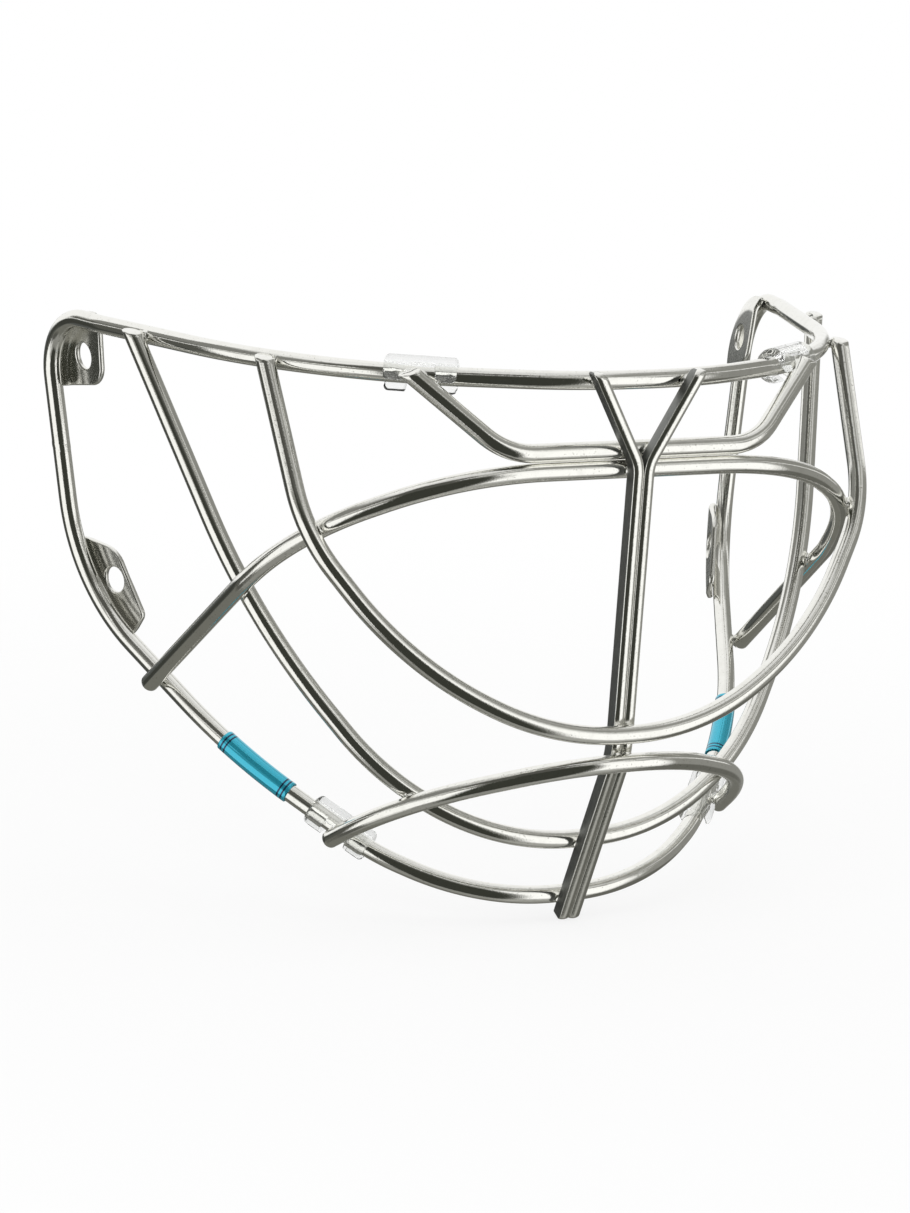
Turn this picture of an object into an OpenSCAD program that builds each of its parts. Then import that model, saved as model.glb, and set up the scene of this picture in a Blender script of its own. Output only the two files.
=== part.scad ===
// Wire face guard of a hockey goalie mask, with its centre bars, mounting tabs, clips and label sleeves.
// Millimetres. The guard faces -Y, Z is up, and X is zero on its middle plane.

/* [Wire] */
// Diameter of the round wire that every bent wire is made from
wire_d = 5; // [4.6:0.1:5.2]
// Gap between two wires, or a wire and a bar, at a welded crossing
weld_gap = 0.1; // [0.05:0.05:0.25]
// How far the wires' upper ends reach above the middle of the top bar
end_rise = 1.5; // [0.5:0.1:2.5]

/* [Top bar of the frame] */
// Half width of the first bend of the top bar
top_front_half = 18; // [16:0.5:20]
// Bend radius of the first bend of the top bar
top_front_r = 80; // [50:1:84]
// Half width of the second bend of the top bar
top_brow_half = 49.5; // [47:0.5:52]
// How far behind its middle the second bend of the top bar lies
top_brow_back = 13; // [12:0.5:14]
// Bend radius of the second bend of the top bar
top_brow_r = 30; // [15:1:34]
// Half width of the top bar at the temples
temple_half = 84.5; // [82:0.5:87]
// How far behind its middle the bend of the top bar at the temples lies
temple_back = 36.5; // [34:0.5:39]
// Bend radius of the top bar at the temples
temple_r = 104; // [80:1:106]
// Half width of the top bar beside the ears
side_half = 107.5; // [105:0.5:110]
// How far behind its middle the bend of the top bar beside the ears lies
side_back = 106.5; // [104:0.5:109]
// Bend radius of the top bar beside the ears
side_r = 35; // [15:1:60]
// Half width of the frame at its rear top corners
corner_half = 113.5; // [111:0.5:116]
// How far behind the middle of the top bar the rear corners lie
corner_back = 134.5; // [131:0.5:138]
// Bend radius of the rear top corners
corner_r = 17; // [14:0.5:18]

/* [Lower part of the frame] */
// Half width of the frame at the bend below the ears
ear_half = 104; // [102:0.5:107]
// How far behind the middle of the top bar the bend below the ears lies
ear_back = 127.5; // [125:0.5:130]
// Drop from the top bar to the bend below the ears
ear_drop = 77.5; // [74:0.5:81]
// Bend radius below the ears
ear_r = 52; // [40:1:58]
// Half width of the frame at the jaw
jaw_half = 78.5; // [76:0.5:81]
// How far behind the middle of the top bar the jaw bend lies
jaw_back = 73; // [71:0.5:75]
// Drop from the top bar to the jaw bend
jaw_drop = 113.5; // [111:0.5:116]
// Bend radius at the jaw
jaw_r = 160; // [120:2:170]
// Half width of the frame beside the chin
chin_side_half = 50; // [48:0.5:52]
// How far behind the middle of the top bar the bend beside the chin lies
chin_side_back = 41.5; // [40:0.5:43]
// Drop from the top bar to the bend beside the chin
chin_side_drop = 135.5; // [134:0.5:137]
// Bend radius beside the chin
chin_side_r = 56; // [40:1:60]
// Half width of the bend of the bottom bow
bow_half = 24.5; // [23:0.5:26]
// Drop from the top bar to the bottom bow
bow_drop = 146.5; // [145:0.5:149]
// Bend radius of the bottom bow
bow_r = 64; // [40:1:66]

/* [Outer U wire] */
// Length along the frame from the middle of the top bar to the outer U wire
outer_u_reach = 144.5; // [141:0.5:148]
// Drop from the top bar to the bottom of the outer U wire
outer_u_drop = 128.5; // [126:0.5:131]
// Half width of the first bend of the outer U wire
outer_u_flat_half = 25.5; // [23:0.5:28]
// Bend radius of the first bend of the outer U wire
outer_u_flat_r = 70; // [50:1:76]
// Half width of the lower bend of the outer U wire
outer_u_low_half = 56.5; // [54:0.5:59]
// How far behind the middle of the top bar the lower bend of the outer U wire lies
outer_u_low_back = 28.5; // [27:0.5:31]
// Drop from the top bar to the lower bend of the outer U wire
outer_u_low_drop = 108.5; // [106:0.5:111]
// Bend radius of the lower bend of the outer U wire
outer_u_low_r = 78; // [60:1:82]
// Half width of the side bend of the outer U wire
outer_u_side_half = 84.5; // [82:0.5:87]
// How far behind the middle of the top bar the side bend of the outer U wire lies
outer_u_side_back = 49; // [47:0.5:51]
// Drop from the top bar to the side bend of the outer U wire
outer_u_side_drop = 70.5; // [68:0.5:73]
// Bend radius of the side bend of the outer U wire
outer_u_side_r = 198; // [150:2:210]

/* [Inner U wire] */
// Length along the frame from the middle of the top bar to the inner U wire
inner_u_reach = 98.5; // [96.5:101:0.5]
// Drop from the top bar to the bottom of the inner U wire
inner_u_drop = 93.5; // [91:0.5:96]
// Half width of the first bend of the inner U wire
inner_u_flat_half = 21.5; // [20:0.5:23]
// Bend radius of the first bend of the inner U wire
inner_u_flat_r = 75; // [50:1:78]
// Half width of the lower bend of the inner U wire
inner_u_low_half = 60.5; // [58:0.5:63]
// How far behind the middle of the top bar the lower bend of the inner U wire lies
inner_u_low_back = 4; // [2:0.5:6]
// Drop from the top bar to the lower bend of the inner U wire
inner_u_low_drop = 73.5; // [71:0.5:76]
// Bend radius of the lower bend of the inner U wire
inner_u_low_r = 100; // [70:1:104]
// How far the side bend of the inner U wire, over the cross wire, lies inside its corner point
inner_u_bulge = 1.6; // [0.8:0.1:2]

/* [Brow wire] */
// Length along the frame from the middle of the top bar to the brow wire
brow_reach = 58; // [56:61:0.5]
// Drop from the top bar to the brow wire
brow_drop = 18.5; // [17.5:0.5:20]
// Half width of the level run of the brow wire
brow_half = 37; // [34:0.5:40]
// Bend radius of the brow wire
brow_r = 18; // [12:1:24]

/* [Cross wire] */
// Half width of the level run of the cross wire, which lies right under the brow wire
cross_flat_half = 32; // [30:0.5:34]
// Bend radius at the end of that level run
cross_flat_r = 90; // [60:1:94]
// Half width of the second bend of the cross wire
cross_shoulder_half = 54.5; // [53:0.5:57]
// How far behind its level run the second bend of the cross wire lies
cross_shoulder_back = 2.5; // [1.5:0.5:3.5]
// How far below its level run the second bend of the cross wire lies
cross_shoulder_down = 2.5; // [1.5:0.5:3.5]
// Bend radius of the second bend of the cross wire
cross_shoulder_r = 50; // [30:1:54]
// Half width of the cheek bend of the cross wire
cross_cheek_half = 84; // [82:0.5:86]
// How far behind its level run the cheek bend of the cross wire lies
cross_cheek_back = 24.5; // [23:0.5:26]
// How far below its level run the cheek bend of the cross wire lies
cross_cheek_down = 18.5; // [17:0.5:20]
// Bend radius of the cheek bend of the cross wire
cross_cheek_r = 66; // [50:1:68]
// Length along the cross wire from its middle to the inner U wire
cross_to_inner_u = 88.5; // [86:91:0.5]
// Length along the outer U wire from its middle to the cross wire
cross_on_outer_u = 122; // [119:125:0.5]
// Length along the frame from the middle of the bottom bow to the cross wire
cross_on_frame = 134; // [131:0.5:137]
// Length of the straight run of the cross wire ahead of the outer U wire
cross_lead = 8; // [7:11:0.5]
// Bend radius of the cross wire ahead of the outer U wire
cross_lead_r = 24; // [16:1:30]
// How far the cross wire runs on past its crossing with the frame
cross_tail = 0; // [0:5:0.5]

/* [Chin wire] */
// Drop from the top bar to the level run of the chin wire
chin_drop = 101.5; // [100:0.5:104]
// Half width of the level run of the chin wire
chin_flat_half = 16; // [15:0.5:18]
// Bend radius at the end of the level run of the chin wire
chin_flat_r = 44; // [30:1:46]
// How far the bend of the chin wire, over the outer U wire, lies inside its corner point
chin_bulge = 4.9; // [3.5:0.1:5.2]
// Length along the outer U wire from its middle to the chin wire
chin_on_outer_u = 51; // [49:54:0.5]
// Length along the frame from the middle of the bottom bow to the chin wire
chin_on_frame = 66.5; // [64:69:0.5]
// How far the chin wire runs on past its crossing with the frame
chin_tail = 0; // [0:5:0.5]

/* [Y bars] */
// Width of one flat bar, across the guard
bar_w = 3; // [2.5:0.1:3.5]
// Depth of one flat bar, from front to back
bar_depth = 4.5; // [4:0.1:5]
// Gap between the two bars below the fork
bar_gap = 0.1; // [0.05:0.05:0.3]
// Half distance between the arms at the height of the top bar
fork_half = 13.5; // [12:0.5:15]
// Drop from the top bar to the fork
fork_drop = 21.5; // [20:0.5:23]
// Bend radius of each bar at the fork
fork_r = 10; // [6:0.5:14]
// How far the arms reach above the middle of the top bar
arm_rise = 3; // [2:0.1:4]
// How far further back the bars lie at their knee than at the top bar
knee_back = 3.5; // [3:0.5:5]
// Drop from the top bar to the knee
knee_drop = 100.5; // [99:0.5:102]
// Bend radius at the knee
knee_r = 30; // [20:1:40]
// How far further back the bars lie at the bottom bow than at the top bar
foot_back = 24.5; // [23:0.5:26]
// How far the bars reach below the middle of the bottom bow
foot_reach = 6; // [4:0.5:8]
// Radius of the bars' front corners at both ends
bar_end_r = 2; // [1:0.1:3]

/* [Mounting tabs] */
// Thickness of the tabs' sheet
tab_t = 1.6; // [1.2:0.1:2]
// Diameter of the screw holes in the tabs
tab_hole_d = 7.2; // [5:0.1:7.6]
// How far the sheet of an upper tab stands inwards of the wire
upper_tab_stand = 1.5; // [0.8:0.1:1.8]
// How far the sheet of a lower tab stands inwards of the wire
lower_tab_stand = 0.9; // [0.7:0.1:1.4]
// Angle at which the edge of a tab rolls over onto the wire, in degrees
tab_roll = 25; // [20:1:32]
// How far an upper tab reaches in front of the centre of the corner bend
upper_tab_front = 1.5; // [0:0.5:3]
// How far an upper tab reaches below the centre of the corner bend
upper_tab_below = 2; // [0:0.5:3]
// Radius of the free corner of an upper tab
upper_tab_r = 6; // [3:0.5:7]
// Height of the upper screw hole above the centre of the corner bend
upper_hole_up = 5; // [4:0.25:5.5]
// Distance of the upper screw hole behind the centre of the corner bend
upper_hole_back = 7; // [6:0.25:7.5]
// Angle along the bend below the ear at which a lower tab starts, in degrees
lower_tab_start = 13; // [10:0.5:15]
// Angle along that bend of the lower tab's front corner, in degrees
lower_tab_corner = 21; // [19:0.5:22]
// How far the front corner of a lower tab lies from the middle of the wire
lower_tab_reach = 10.5; // [9:0.5:12]
// Radius of the front corner of a lower tab
lower_tab_r = 8; // [5:0.5:9]
// Angle along that bend of the lower tab's tip, in degrees
lower_tab_tip = 47.5; // [45:0.5:49]
// How far the tip of a lower tab lies from the middle of the wire
lower_tip_reach = 6.5; // [5:0.5:8]
// Radius of the tip of a lower tab
lower_tip_r = 2.5; // [1:0.5:3]
// Angle along that bend of the lower screw hole, in degrees
lower_hole_at = 30; // [29:0.5:33]
// Distance of the lower screw hole from the middle of the wire
lower_hole_in = 5; // [4.5:0.25:5.5]

/* [Clips] */
// Length of a clip along the frame
clip_len = 19; // [17:0.5:21]
// Clearance between a clip and the wires
clip_clearance = 0.3; // [0.25:0.05:0.4]
// Wall of a clip
clip_wall = 1.8; // [1.2:0.1:2]
// How much thicker a clip is on its upper side than on its lower side
clip_crown = 0.3; // [0:0.1:1]
// Bevel around both ends of a clip
clip_edge = 1; // [0.4:0.1:1.2]
// Width of the opening along a clip, through which it snaps over the frame
clip_slot = 4; // [3:0.1:4.4]
// Angle of that opening below the front of a clip, in degrees
clip_slot_at = 35; // [25:1:50]
// Length of the notch in the front and the underside of a clip
clip_notch = 8; // [6:0.5:10]

/* [Label sleeves] */
// Length along the frame from a lower clip to a label sleeve
label_from_clip = 7.5; // [5:0.5:12]
// Length of a label sleeve
label_len = 24; // [20:0.5:26]
// Thickness of the film of a label sleeve
label_wall = 0.4; // [0.3:0.05:0.6]
// Gap between the wire and a label sleeve
label_gap = 0.1; // [0.05:0.05:0.2]

/* [Hidden] */
$fn = 48;

// How far a straight run reaches into a bend, and how much thicker a bend is.
bend_lap = 0.3;
bend_swell = 0.02;
// Distance between the middles of two crossing wires.
lay_d = wire_d + weld_gap;
// A direction out of the guard on its +X side.
out = [1, -1, -1];

function unit(v) = v / norm(v);
function clamp(a) = max(-1, min(1, a));

// A path is a list p of corner points with a list r of bend radii.
function before(p, i) = unit(p[i] - p[i - 1]);
function after(p, i) = unit(p[i + 1] - p[i]);
function turn(p, i) = acos(clamp(before(p, i) * after(p, i)));
function cut(p, r, i) = i == 0 || i == len(p) - 1 ? 0 : r[i] * tan(turn(p, i) / 2);
function inward(p, i) = unit(after(p, i) - (after(p, i) * before(p, i)) * before(p, i));
function bend_centre(p, r, i) = p[i] - cut(p, r, i) * before(p, i) + r[i] * inward(p, i);
function run_len(p, r, i) = norm(p[i + 1] - p[i]) - cut(p, r, i) - cut(p, r, i + 1);
function bend_len(p, r, i) = r[i] * turn(p, i) * PI / 180;

// Point and direction at the length s from the start of a path.
function at(p, r, s, i = 0) =
  let (l = run_len(p, r, i))
  s <= l || i + 2 >= len(p) ? [p[i] + (cut(p, r, i) + s) * after(p, i), after(p, i)] :
  s <= l + bend_len(p, r, i + 1) ? on_bend(p, r, i + 1, (s - l) / r[i + 1] * 180 / PI) :
  at(p, r, s - l - bend_len(p, r, i + 1), i + 1);
function on_bend(p, r, i, a) =
  [bend_centre(p, r, i) + r[i] * (sin(a) * before(p, i) - cos(a) * inward(p, i)),
   cos(a) * before(p, i) + sin(a) * inward(p, i)];

// The side of a wire with direction t on which another wire with direction u is laid.
function lay_side(t, u) = let (n = unit(cross(t, u))) n * out < 0 ? -n : n;

// The point at which a straight run from v is laid over the wire at q, a point and direction.
function over(q, v, c, k = 6) = k == 0 ? c : over(q, v, q[0] + lay_d * lay_side(q[1], c - v), k - 1);
function laid(q, v) = over(q, v, q[0] + lay_d * unit(out));

// The corner point between a and b whose bend lies g inside it and is laid over the wire at q.
function bend_over(q, a, b, g, v, k = 8) =
  let (u = unit(v - a), d = unit(b - v))
  k == 0 ? v : bend_over(q, a, b, g, q[0] + lay_d * lay_side(q[1], u + d) - g * unit(d - u), k - 1);
// The radius of the bend that lies g inside the corner point v.
function bulge_r(a, v, b, g) = g / (1 / cos(turn([a, v, b], 1) / 2) - 1);

// Side view of the bars: the angle of their long run and of their foot, and the centre of the knee bend.
bar_mid = -bar_depth / 2;
lean = atan(knee_back / knee_drop);
shin = atan((foot_back - knee_back) / (bow_drop - knee_drop));
knee_z = -knee_drop + knee_r * (1 / cos(shin) - 1 / cos(lean)) / (tan(shin) - tan(lean));
knee_y = bar_mid - knee_z * tan(lean) + knee_r / cos(lean);

// Depth at the height z of a line that runs along the bars at the distance o behind their middle.
function beside(z, o) =
  z > knee_z - (knee_r - o) * sin(lean) ? bar_mid - z * tan(lean) + o / cos(lean) :
  z < knee_z - (knee_r - o) * sin(shin) ?
    bar_mid + knee_back + (-z - knee_drop) * tan(shin) + o / cos(shin) :
  knee_y - sqrt(pow(knee_r - o, 2) - pow(z - knee_z, 2));
wire_off = bar_depth / 2 + weld_gap + wire_d / 2;
function behind_bars(z) = beside(z, wire_off);
function before_bars(z) = beside(z, -wire_off);

// Half paths, from the middle plane outwards on the +X side.
top_y = behind_bars(0);
bow_y = behind_bars(-bow_drop);
frame_p = [[0, top_y, 0],
  [top_front_half, top_y, 0],
  [top_brow_half, top_y + top_brow_back, 0],
  [temple_half, top_y + temple_back, 0],
  [side_half, top_y + side_back, 0],
  [corner_half, top_y + corner_back, 0],
  [ear_half, top_y + ear_back, -ear_drop],
  [jaw_half, top_y + jaw_back, -jaw_drop],
  [chin_side_half, top_y + chin_side_back, -chin_side_drop],
  [bow_half, bow_y, -bow_drop],
  [0, bow_y, -bow_drop]];
frame_r = [0, top_front_r, top_brow_r, temple_r, side_r, corner_r, ear_r, jaw_r, chin_side_r, bow_r, 0];
function flip(v) = [for (i = [len(v) - 1:-1:0]) v[i]];
lower_p = flip(frame_p);
lower_r = flip(frame_r);

brow_y = behind_bars(-brow_drop);
brow_v = [brow_half, brow_y, -brow_drop];
brow_q = at(frame_p, frame_r, brow_reach);
brow_c = laid(brow_q, brow_v);
// An end of a wire: from v through c, up to the height z or on by the length l.
function up_to(v, c, z) = v + (c - v) * (z - v[2]) / (c[2] - v[2]);
function past(v, c, l) = c + l * unit(c - v);
brow_p = [[0, brow_y, -brow_drop], brow_v, up_to(brow_v, brow_c, end_rise)];
brow_rr = [0, brow_r, 0];

outer_y = behind_bars(-outer_u_drop);
outer_v = [outer_u_side_half, top_y + outer_u_side_back, -outer_u_side_drop];
outer_q = at(frame_p, frame_r, outer_u_reach);
outer_p = [[0, outer_y, -outer_u_drop],
  [outer_u_flat_half, outer_y, -outer_u_drop],
  [outer_u_low_half, top_y + outer_u_low_back, -outer_u_low_drop],
  outer_v, up_to(outer_v, laid(outer_q, outer_v), end_rise)];
outer_r = [0, outer_u_flat_r, outer_u_low_r, outer_u_side_r, 0];

// The chin wire is laid over the outer U wire in a bend and over the frame in a straight run.
chin_y = before_bars(-chin_drop);
chin_a = [chin_flat_half, chin_y, -chin_drop];
chin_q = at(outer_p, outer_r, chin_on_outer_u);
chin_end_q = at(lower_p, lower_r, chin_on_frame);
chin_b = chin_end_q[0] + lay_d * unit([1, -0.3, -1]);
chin_v = bend_over(chin_q, chin_a, chin_b, chin_bulge, chin_q[0] + lay_d * unit(out));
chin_c = laid(chin_end_q, chin_v);
chin_w = bend_over(chin_q, chin_a, chin_c, chin_bulge, chin_v);
chin_d = laid(chin_end_q, chin_w);
chin_p = [[0, chin_y, -chin_drop], chin_a, chin_w, past(chin_w, chin_d, chin_tail)];
chin_r = [0, chin_flat_r, bulge_r(chin_a, chin_w, chin_d, chin_bulge), 0];

// The cross wire runs straight over the outer U wire and over the frame.
cross_z = -brow_drop - lay_d;
cross_y = behind_bars(cross_z);
cross_q = at(outer_p, outer_r, cross_on_outer_u);
cross_end_q = at(lower_p, lower_r, cross_on_frame);
function both_over(a, b, k = 8) = k == 0 ? [a, b] :
  both_over(cross_q[0] + lay_d * lay_side(cross_q[1], b - a),
    cross_end_q[0] + lay_d * lay_side(cross_end_q[1], b - a), k - 1);
cross_ab = both_over(cross_q[0], cross_end_q[0]);
cross_v = past(cross_ab[1], cross_ab[0], cross_lead);
cross_p = [[0, cross_y, cross_z],
  [cross_flat_half, cross_y, cross_z],
  [cross_shoulder_half, cross_y + cross_shoulder_back, cross_z - cross_shoulder_down],
  [cross_cheek_half, cross_y + cross_cheek_back, cross_z - cross_cheek_down],
  cross_v, past(cross_ab[0], cross_ab[1], cross_tail)];
cross_r = [0, cross_flat_r, cross_shoulder_r, cross_cheek_r, cross_lead_r, 0];

// The inner U wire is laid over the cross wire in its side bend and over the frame in a straight run.
inner_y = before_bars(-inner_u_drop);
inner_a = [inner_u_low_half, top_y + inner_u_low_back, -inner_u_low_drop];
inner_q = at(cross_p, cross_r, cross_to_inner_u);
inner_end_q = at(frame_p, frame_r, inner_u_reach);
inner_b = inner_end_q[0] + lay_d * unit([1, -0.8, 0]);
inner_v = bend_over(inner_q, inner_a, inner_b, inner_u_bulge, inner_q[0] + lay_d * unit(out));
inner_c = laid(inner_end_q, inner_v);
inner_w = bend_over(inner_q, inner_a, inner_c, inner_u_bulge, inner_v);
inner_d = laid(inner_end_q, inner_w);
inner_p = [[0, inner_y, -inner_u_drop], [inner_u_flat_half, inner_y, -inner_u_drop], inner_a, inner_w,
  up_to(inner_w, inner_d, end_rise)];
inner_r = [0, inner_u_flat_r, inner_u_low_r, bulge_r(inner_a, inner_w, inner_d, inner_u_bulge), 0];

// The middle and the direction of a clip of the given length on the frame, at the length s along it.
clip_or = wire_d / 2 + clip_clearance + clip_wall;
function clip_at(p, r, s) =
  let (a = at(p, r, s - clip_len / 2)[0], b = at(p, r, s + clip_len / 2)[0])
  [(a + b + 2 * at(p, r, s)[0]) / 4, unit(b - a)];

// Middle of the whole guard, which every piece is moved to the origin by.
corner_c = bend_centre(frame_p, frame_r, 5);
corner_1 = -inward(frame_p, 5);
corner_2 = before(frame_p, 5);
ear_c = bend_centre(frame_p, frame_r, 6);
ear_1 = -inward(frame_p, 6);
ear_2 = before(frame_p, 6);
rear_y = corner_c[1] + corner_r * norm([corner_1[1], corner_2[1]]) + wire_d / 2;
front_y = min(chin_y, inner_y) - wire_d / 2;
top_z = clip_at(frame_p, frame_r, brow_reach)[0][2] + clip_or + clip_crown;
low_z = -bow_drop - foot_reach;
centre = [0, (front_y + rear_y) / 2, (top_z + low_z) / 2];

// Puts a shape drawn on the X, Y and Z axes on the axes x, y and their cross product, at the point c.
module placed(c, x, y) {
  z = cross(x, y);
  multmatrix([[x[0], y[0], z[0], c[0]], [x[1], y[1], z[1], c[1]], [x[2], y[2], z[2], c[2]]]) children();
}
module in_frame() { translate(-centre) children(); }

// A round wire along a path: its straight runs and its bends in turn. Each straight run reaches into
// the bends beside it, and a bend is thicker by bend_swell, so that they join into one solid.
function sideways(d) = unit(abs(d[2]) < 0.9 ? cross([0, 0, 1], d) : cross([0, 1, 0], d));
module straight(a, b, d) {
  u = unit(b - a);
  placed(a, sideways(u), cross(u, sideways(u))) cylinder(d = d, h = norm(b - a));
}
module run(p, r, i, d) {
  straight(p[i] + (cut(p, r, i) - lap(p, r, i)) * after(p, i),
    p[i + 1] - (cut(p, r, i + 1) - lap(p, r, i + 1)) * after(p, i), d);
}
function lap(p, r, i) = cut(p, r, i) == 0 ? 0 : bend_lap;
module bend(p, r, i, d) {
  placed(bend_centre(p, r, i), -inward(p, i), before(p, i))
    rotate_extrude(angle = turn(p, i), $fn = 96) translate([r[i], 0]) circle(d = d + bend_swell);
}
// The other half of a path, from its far end to its first bend, and the whole path.
function far_half(p) = [for (i = [len(p) - 1:-1:1]) [-p[i][0], p[i][1], p[i][2]]];
function tail(v) = [for (i = [1:len(v) - 1]) v[i]];
function whole_p(p) = concat(far_half(p), tail(p));
function whole_r(r) = concat(flip(tail(r)), tail(r));
module open_wire(hp, hr) {
  p = whole_p(hp);
  r = whole_r(hr);
  for (i = [0:len(p) - 2]) run(p, r, i, wire_d);
  for (i = [1:len(p) - 2]) bend(p, r, i, wire_d);
}
// A closed wire: the half path starts and ends on the middle plane.
module closed_wire(hp, hr) {
  n = len(hp) - 2;
  q = whole_p([for (i = [0:n]) hp[i]]);
  s = whole_r([for (i = [0:n]) hr[i]]);
  p = concat([q[2 * n - 1]], q, [q[0], q[1]]);
  r = concat([s[2 * n - 1]], s, [s[0], s[1]]);
  for (i = [1:2 * n]) { run(p, r, i, wire_d); bend(p, r, i, wire_d); }
}

module perimeter_wire() { color("silver") in_frame() closed_wire(frame_p, frame_r); }
module outer_u_wire() { color("silver") in_frame() open_wire(outer_p, outer_r); }
module inner_u_wire() { color("silver") in_frame() open_wire(inner_p, inner_r); }
module brow_wire() { color("silver") in_frame() open_wire(brow_p, brow_rr); }
module cross_wire() { color("silver") in_frame() open_wire(cross_p, cross_r); }
module chin_wire() { color("silver") in_frame() open_wire(chin_p, chin_r); }

// A flat strip of width w along a path in the XY plane, joined at its bends as the wires are.
module strip(p, r, w) {
  for (i = [0:len(p) - 2]) {
    a = p[i] + (cut(p, r, i) - lap(p, r, i)) * after(p, i);
    b = p[i + 1] - (cut(p, r, i + 1) - lap(p, r, i + 1)) * after(p, i);
    translate([a[0], a[1]]) rotate(atan2((b - a)[1], (b - a)[0]))
      translate([0, -w / 2]) square([norm(b - a), w]);
  }
  for (i = [1:len(p) - 2]) {
    c = bend_centre(p, r, i);
    far = 2 * (r[i] + w);
    u = far * -inward(p, i);
    v = far * (on_bend(p, r, i, turn(p, i))[0] - c) / r[i];
    translate([c[0], c[1]]) intersection() {
      difference() {
        circle(r[i] + (w + bend_swell) / 2, $fn = 96);
        circle(r[i] - (w + bend_swell) / 2, $fn = 96);
      }
      polygon([[0, 0], [u[0], u[1]], [v[0], v[1]]]);
    }
  }
}
// A tube along a path between the lengths s and e, of the outer diameter d.
function run_start(p, r, i) =
  i == 0 ? 0 : run_start(p, r, i - 1) + run_len(p, r, i - 1) + bend_len(p, r, i);
module ring(d, bore) { difference() { circle(d = d); circle(d = bore); } }
module stretch(p, r, s, e, d, bore) {
  for (i = [0:len(p) - 2]) {
    first = run_start(p, r, i);
    last = first + run_len(p, r, i);
    if (s < last && e > first) {
      a = (s < first ? -bend_lap : s - first) + cut(p, r, i);
      l = (e > last ? last + bend_lap : e) - max(s, first) + (s < first ? bend_lap : 0);
      u = after(p, i);
      placed(p[i] + a * u, sideways(u), cross(u, sideways(u))) linear_extrude(l) ring(d, bore);
    }
    if (i < len(p) - 2) {
      on = last + bend_len(p, r, i + 1);
      k = 180 / PI / r[i + 1];
      if (s < on && e > last)
        placed(bend_centre(p, r, i + 1), -inward(p, i + 1), before(p, i + 1))
          rotate(k * (max(s, last) - last))
            rotate_extrude(angle = k * (min(e, on) - max(s, last)), $fn = 96)
              translate([r[i + 1], 0]) ring(d + bend_swell, bore - bend_swell);
    }
  }
}
// What is cut off to round a corner at the origin, between edges on X and Y, by the radius r.
module outside_corner(r) {
  difference() { translate([-1, -1]) square(r + 1); translate([0.98 * r, 0.98 * r]) circle(r); }
}

// One bar on the +X side: its front view and its side view, each drawn through, have it in common.
module y_bar() {
  x = (bar_w + bar_gap) / 2;
  low = -bow_drop - foot_reach;
  front_p = [[x, low - 5, 0], [x, -fork_drop, 0],
    [x + (fork_half - x) * (arm_rise + 10 + fork_drop) / fork_drop, arm_rise + 10, 0]];
  top = [bar_mid - arm_rise * tan(lean), arm_rise, 0];
  foot = [bar_mid + foot_back + foot_reach * tan(shin), low, 0];
  side_p = [top, [bar_mid + knee_back, -knee_drop, 0], foot];
  intersection() {
    translate([0, foot_back + 40, 0]) rotate([90, 0, 0])
      linear_extrude(foot_back + 80) strip(front_p, [0, fork_r, 0], bar_w);
    rotate([90, 0, 90]) linear_extrude(2 * fork_half) difference() {
      strip(side_p, [0, knee_r, 0], bar_depth);
      translate([top[0] - bar_depth / 2 * cos(lean), top[1] - bar_depth / 2 * sin(lean)])
        rotate(lean - 90) outside_corner(bar_end_r);
      translate([foot[0] - bar_depth / 2 * cos(shin), foot[1] - bar_depth / 2 * sin(shin)])
        rotate(shin) outside_corner(bar_end_r);
    }
  }
}
module right_y_bar() { color("silver") in_frame() y_bar(); }
module left_y_bar() { color("silver") in_frame() mirror([1, 0, 0]) y_bar(); }

// A dished sheet around the centre of a bend of radius r: flat, with its edge rolled over onto the wire.
module dish(r, stand, inner, start, sweep) {
  g = wire_d / 2 + weld_gap;
  base = wire_d / 2 + stand;
  edge = r + g * sin(tab_roll) - (base - g * cos(tab_roll)) / tan(tab_roll);
  rotate(start) rotate_extrude(angle = sweep, $fn = 96) polygon([[inner, base], [edge, base],
    [r + g * sin(tab_roll), g * cos(tab_roll)],
    [r + (g + tab_t) * sin(tab_roll), (g + tab_t) * cos(tab_roll)],
    [edge + tab_t * tan(tab_roll / 2), base + tab_t], [inner, base + tab_t]]);
}
function polar(r, a) = [r * cos(a), r * sin(a), 0];
// An outline with the corners q, of which the middle ones are rounded by the radii r.
module outline(q, r) {
  difference() {
    polygon([for (v = q) [v[0], v[1]]]);
    for (i = [1:len(q) - 2]) if (r[i] > 0) {
      w = unit(after(q, i) - before(q, i));
      h = turn(q, i) / 2;
      far = 3 * r[i];
      c = q[i] + 0.98 * r[i] / cos(h) * w;
      translate([c[0], c[1]]) rotate(atan2(-w[1], -w[0])) difference() {
        polygon([[0, 0], [far * cos(h), -far * sin(h)], [far * cos(h), far * sin(h)]]);
        circle(r[i]);
      }
    }
  }
}

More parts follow.
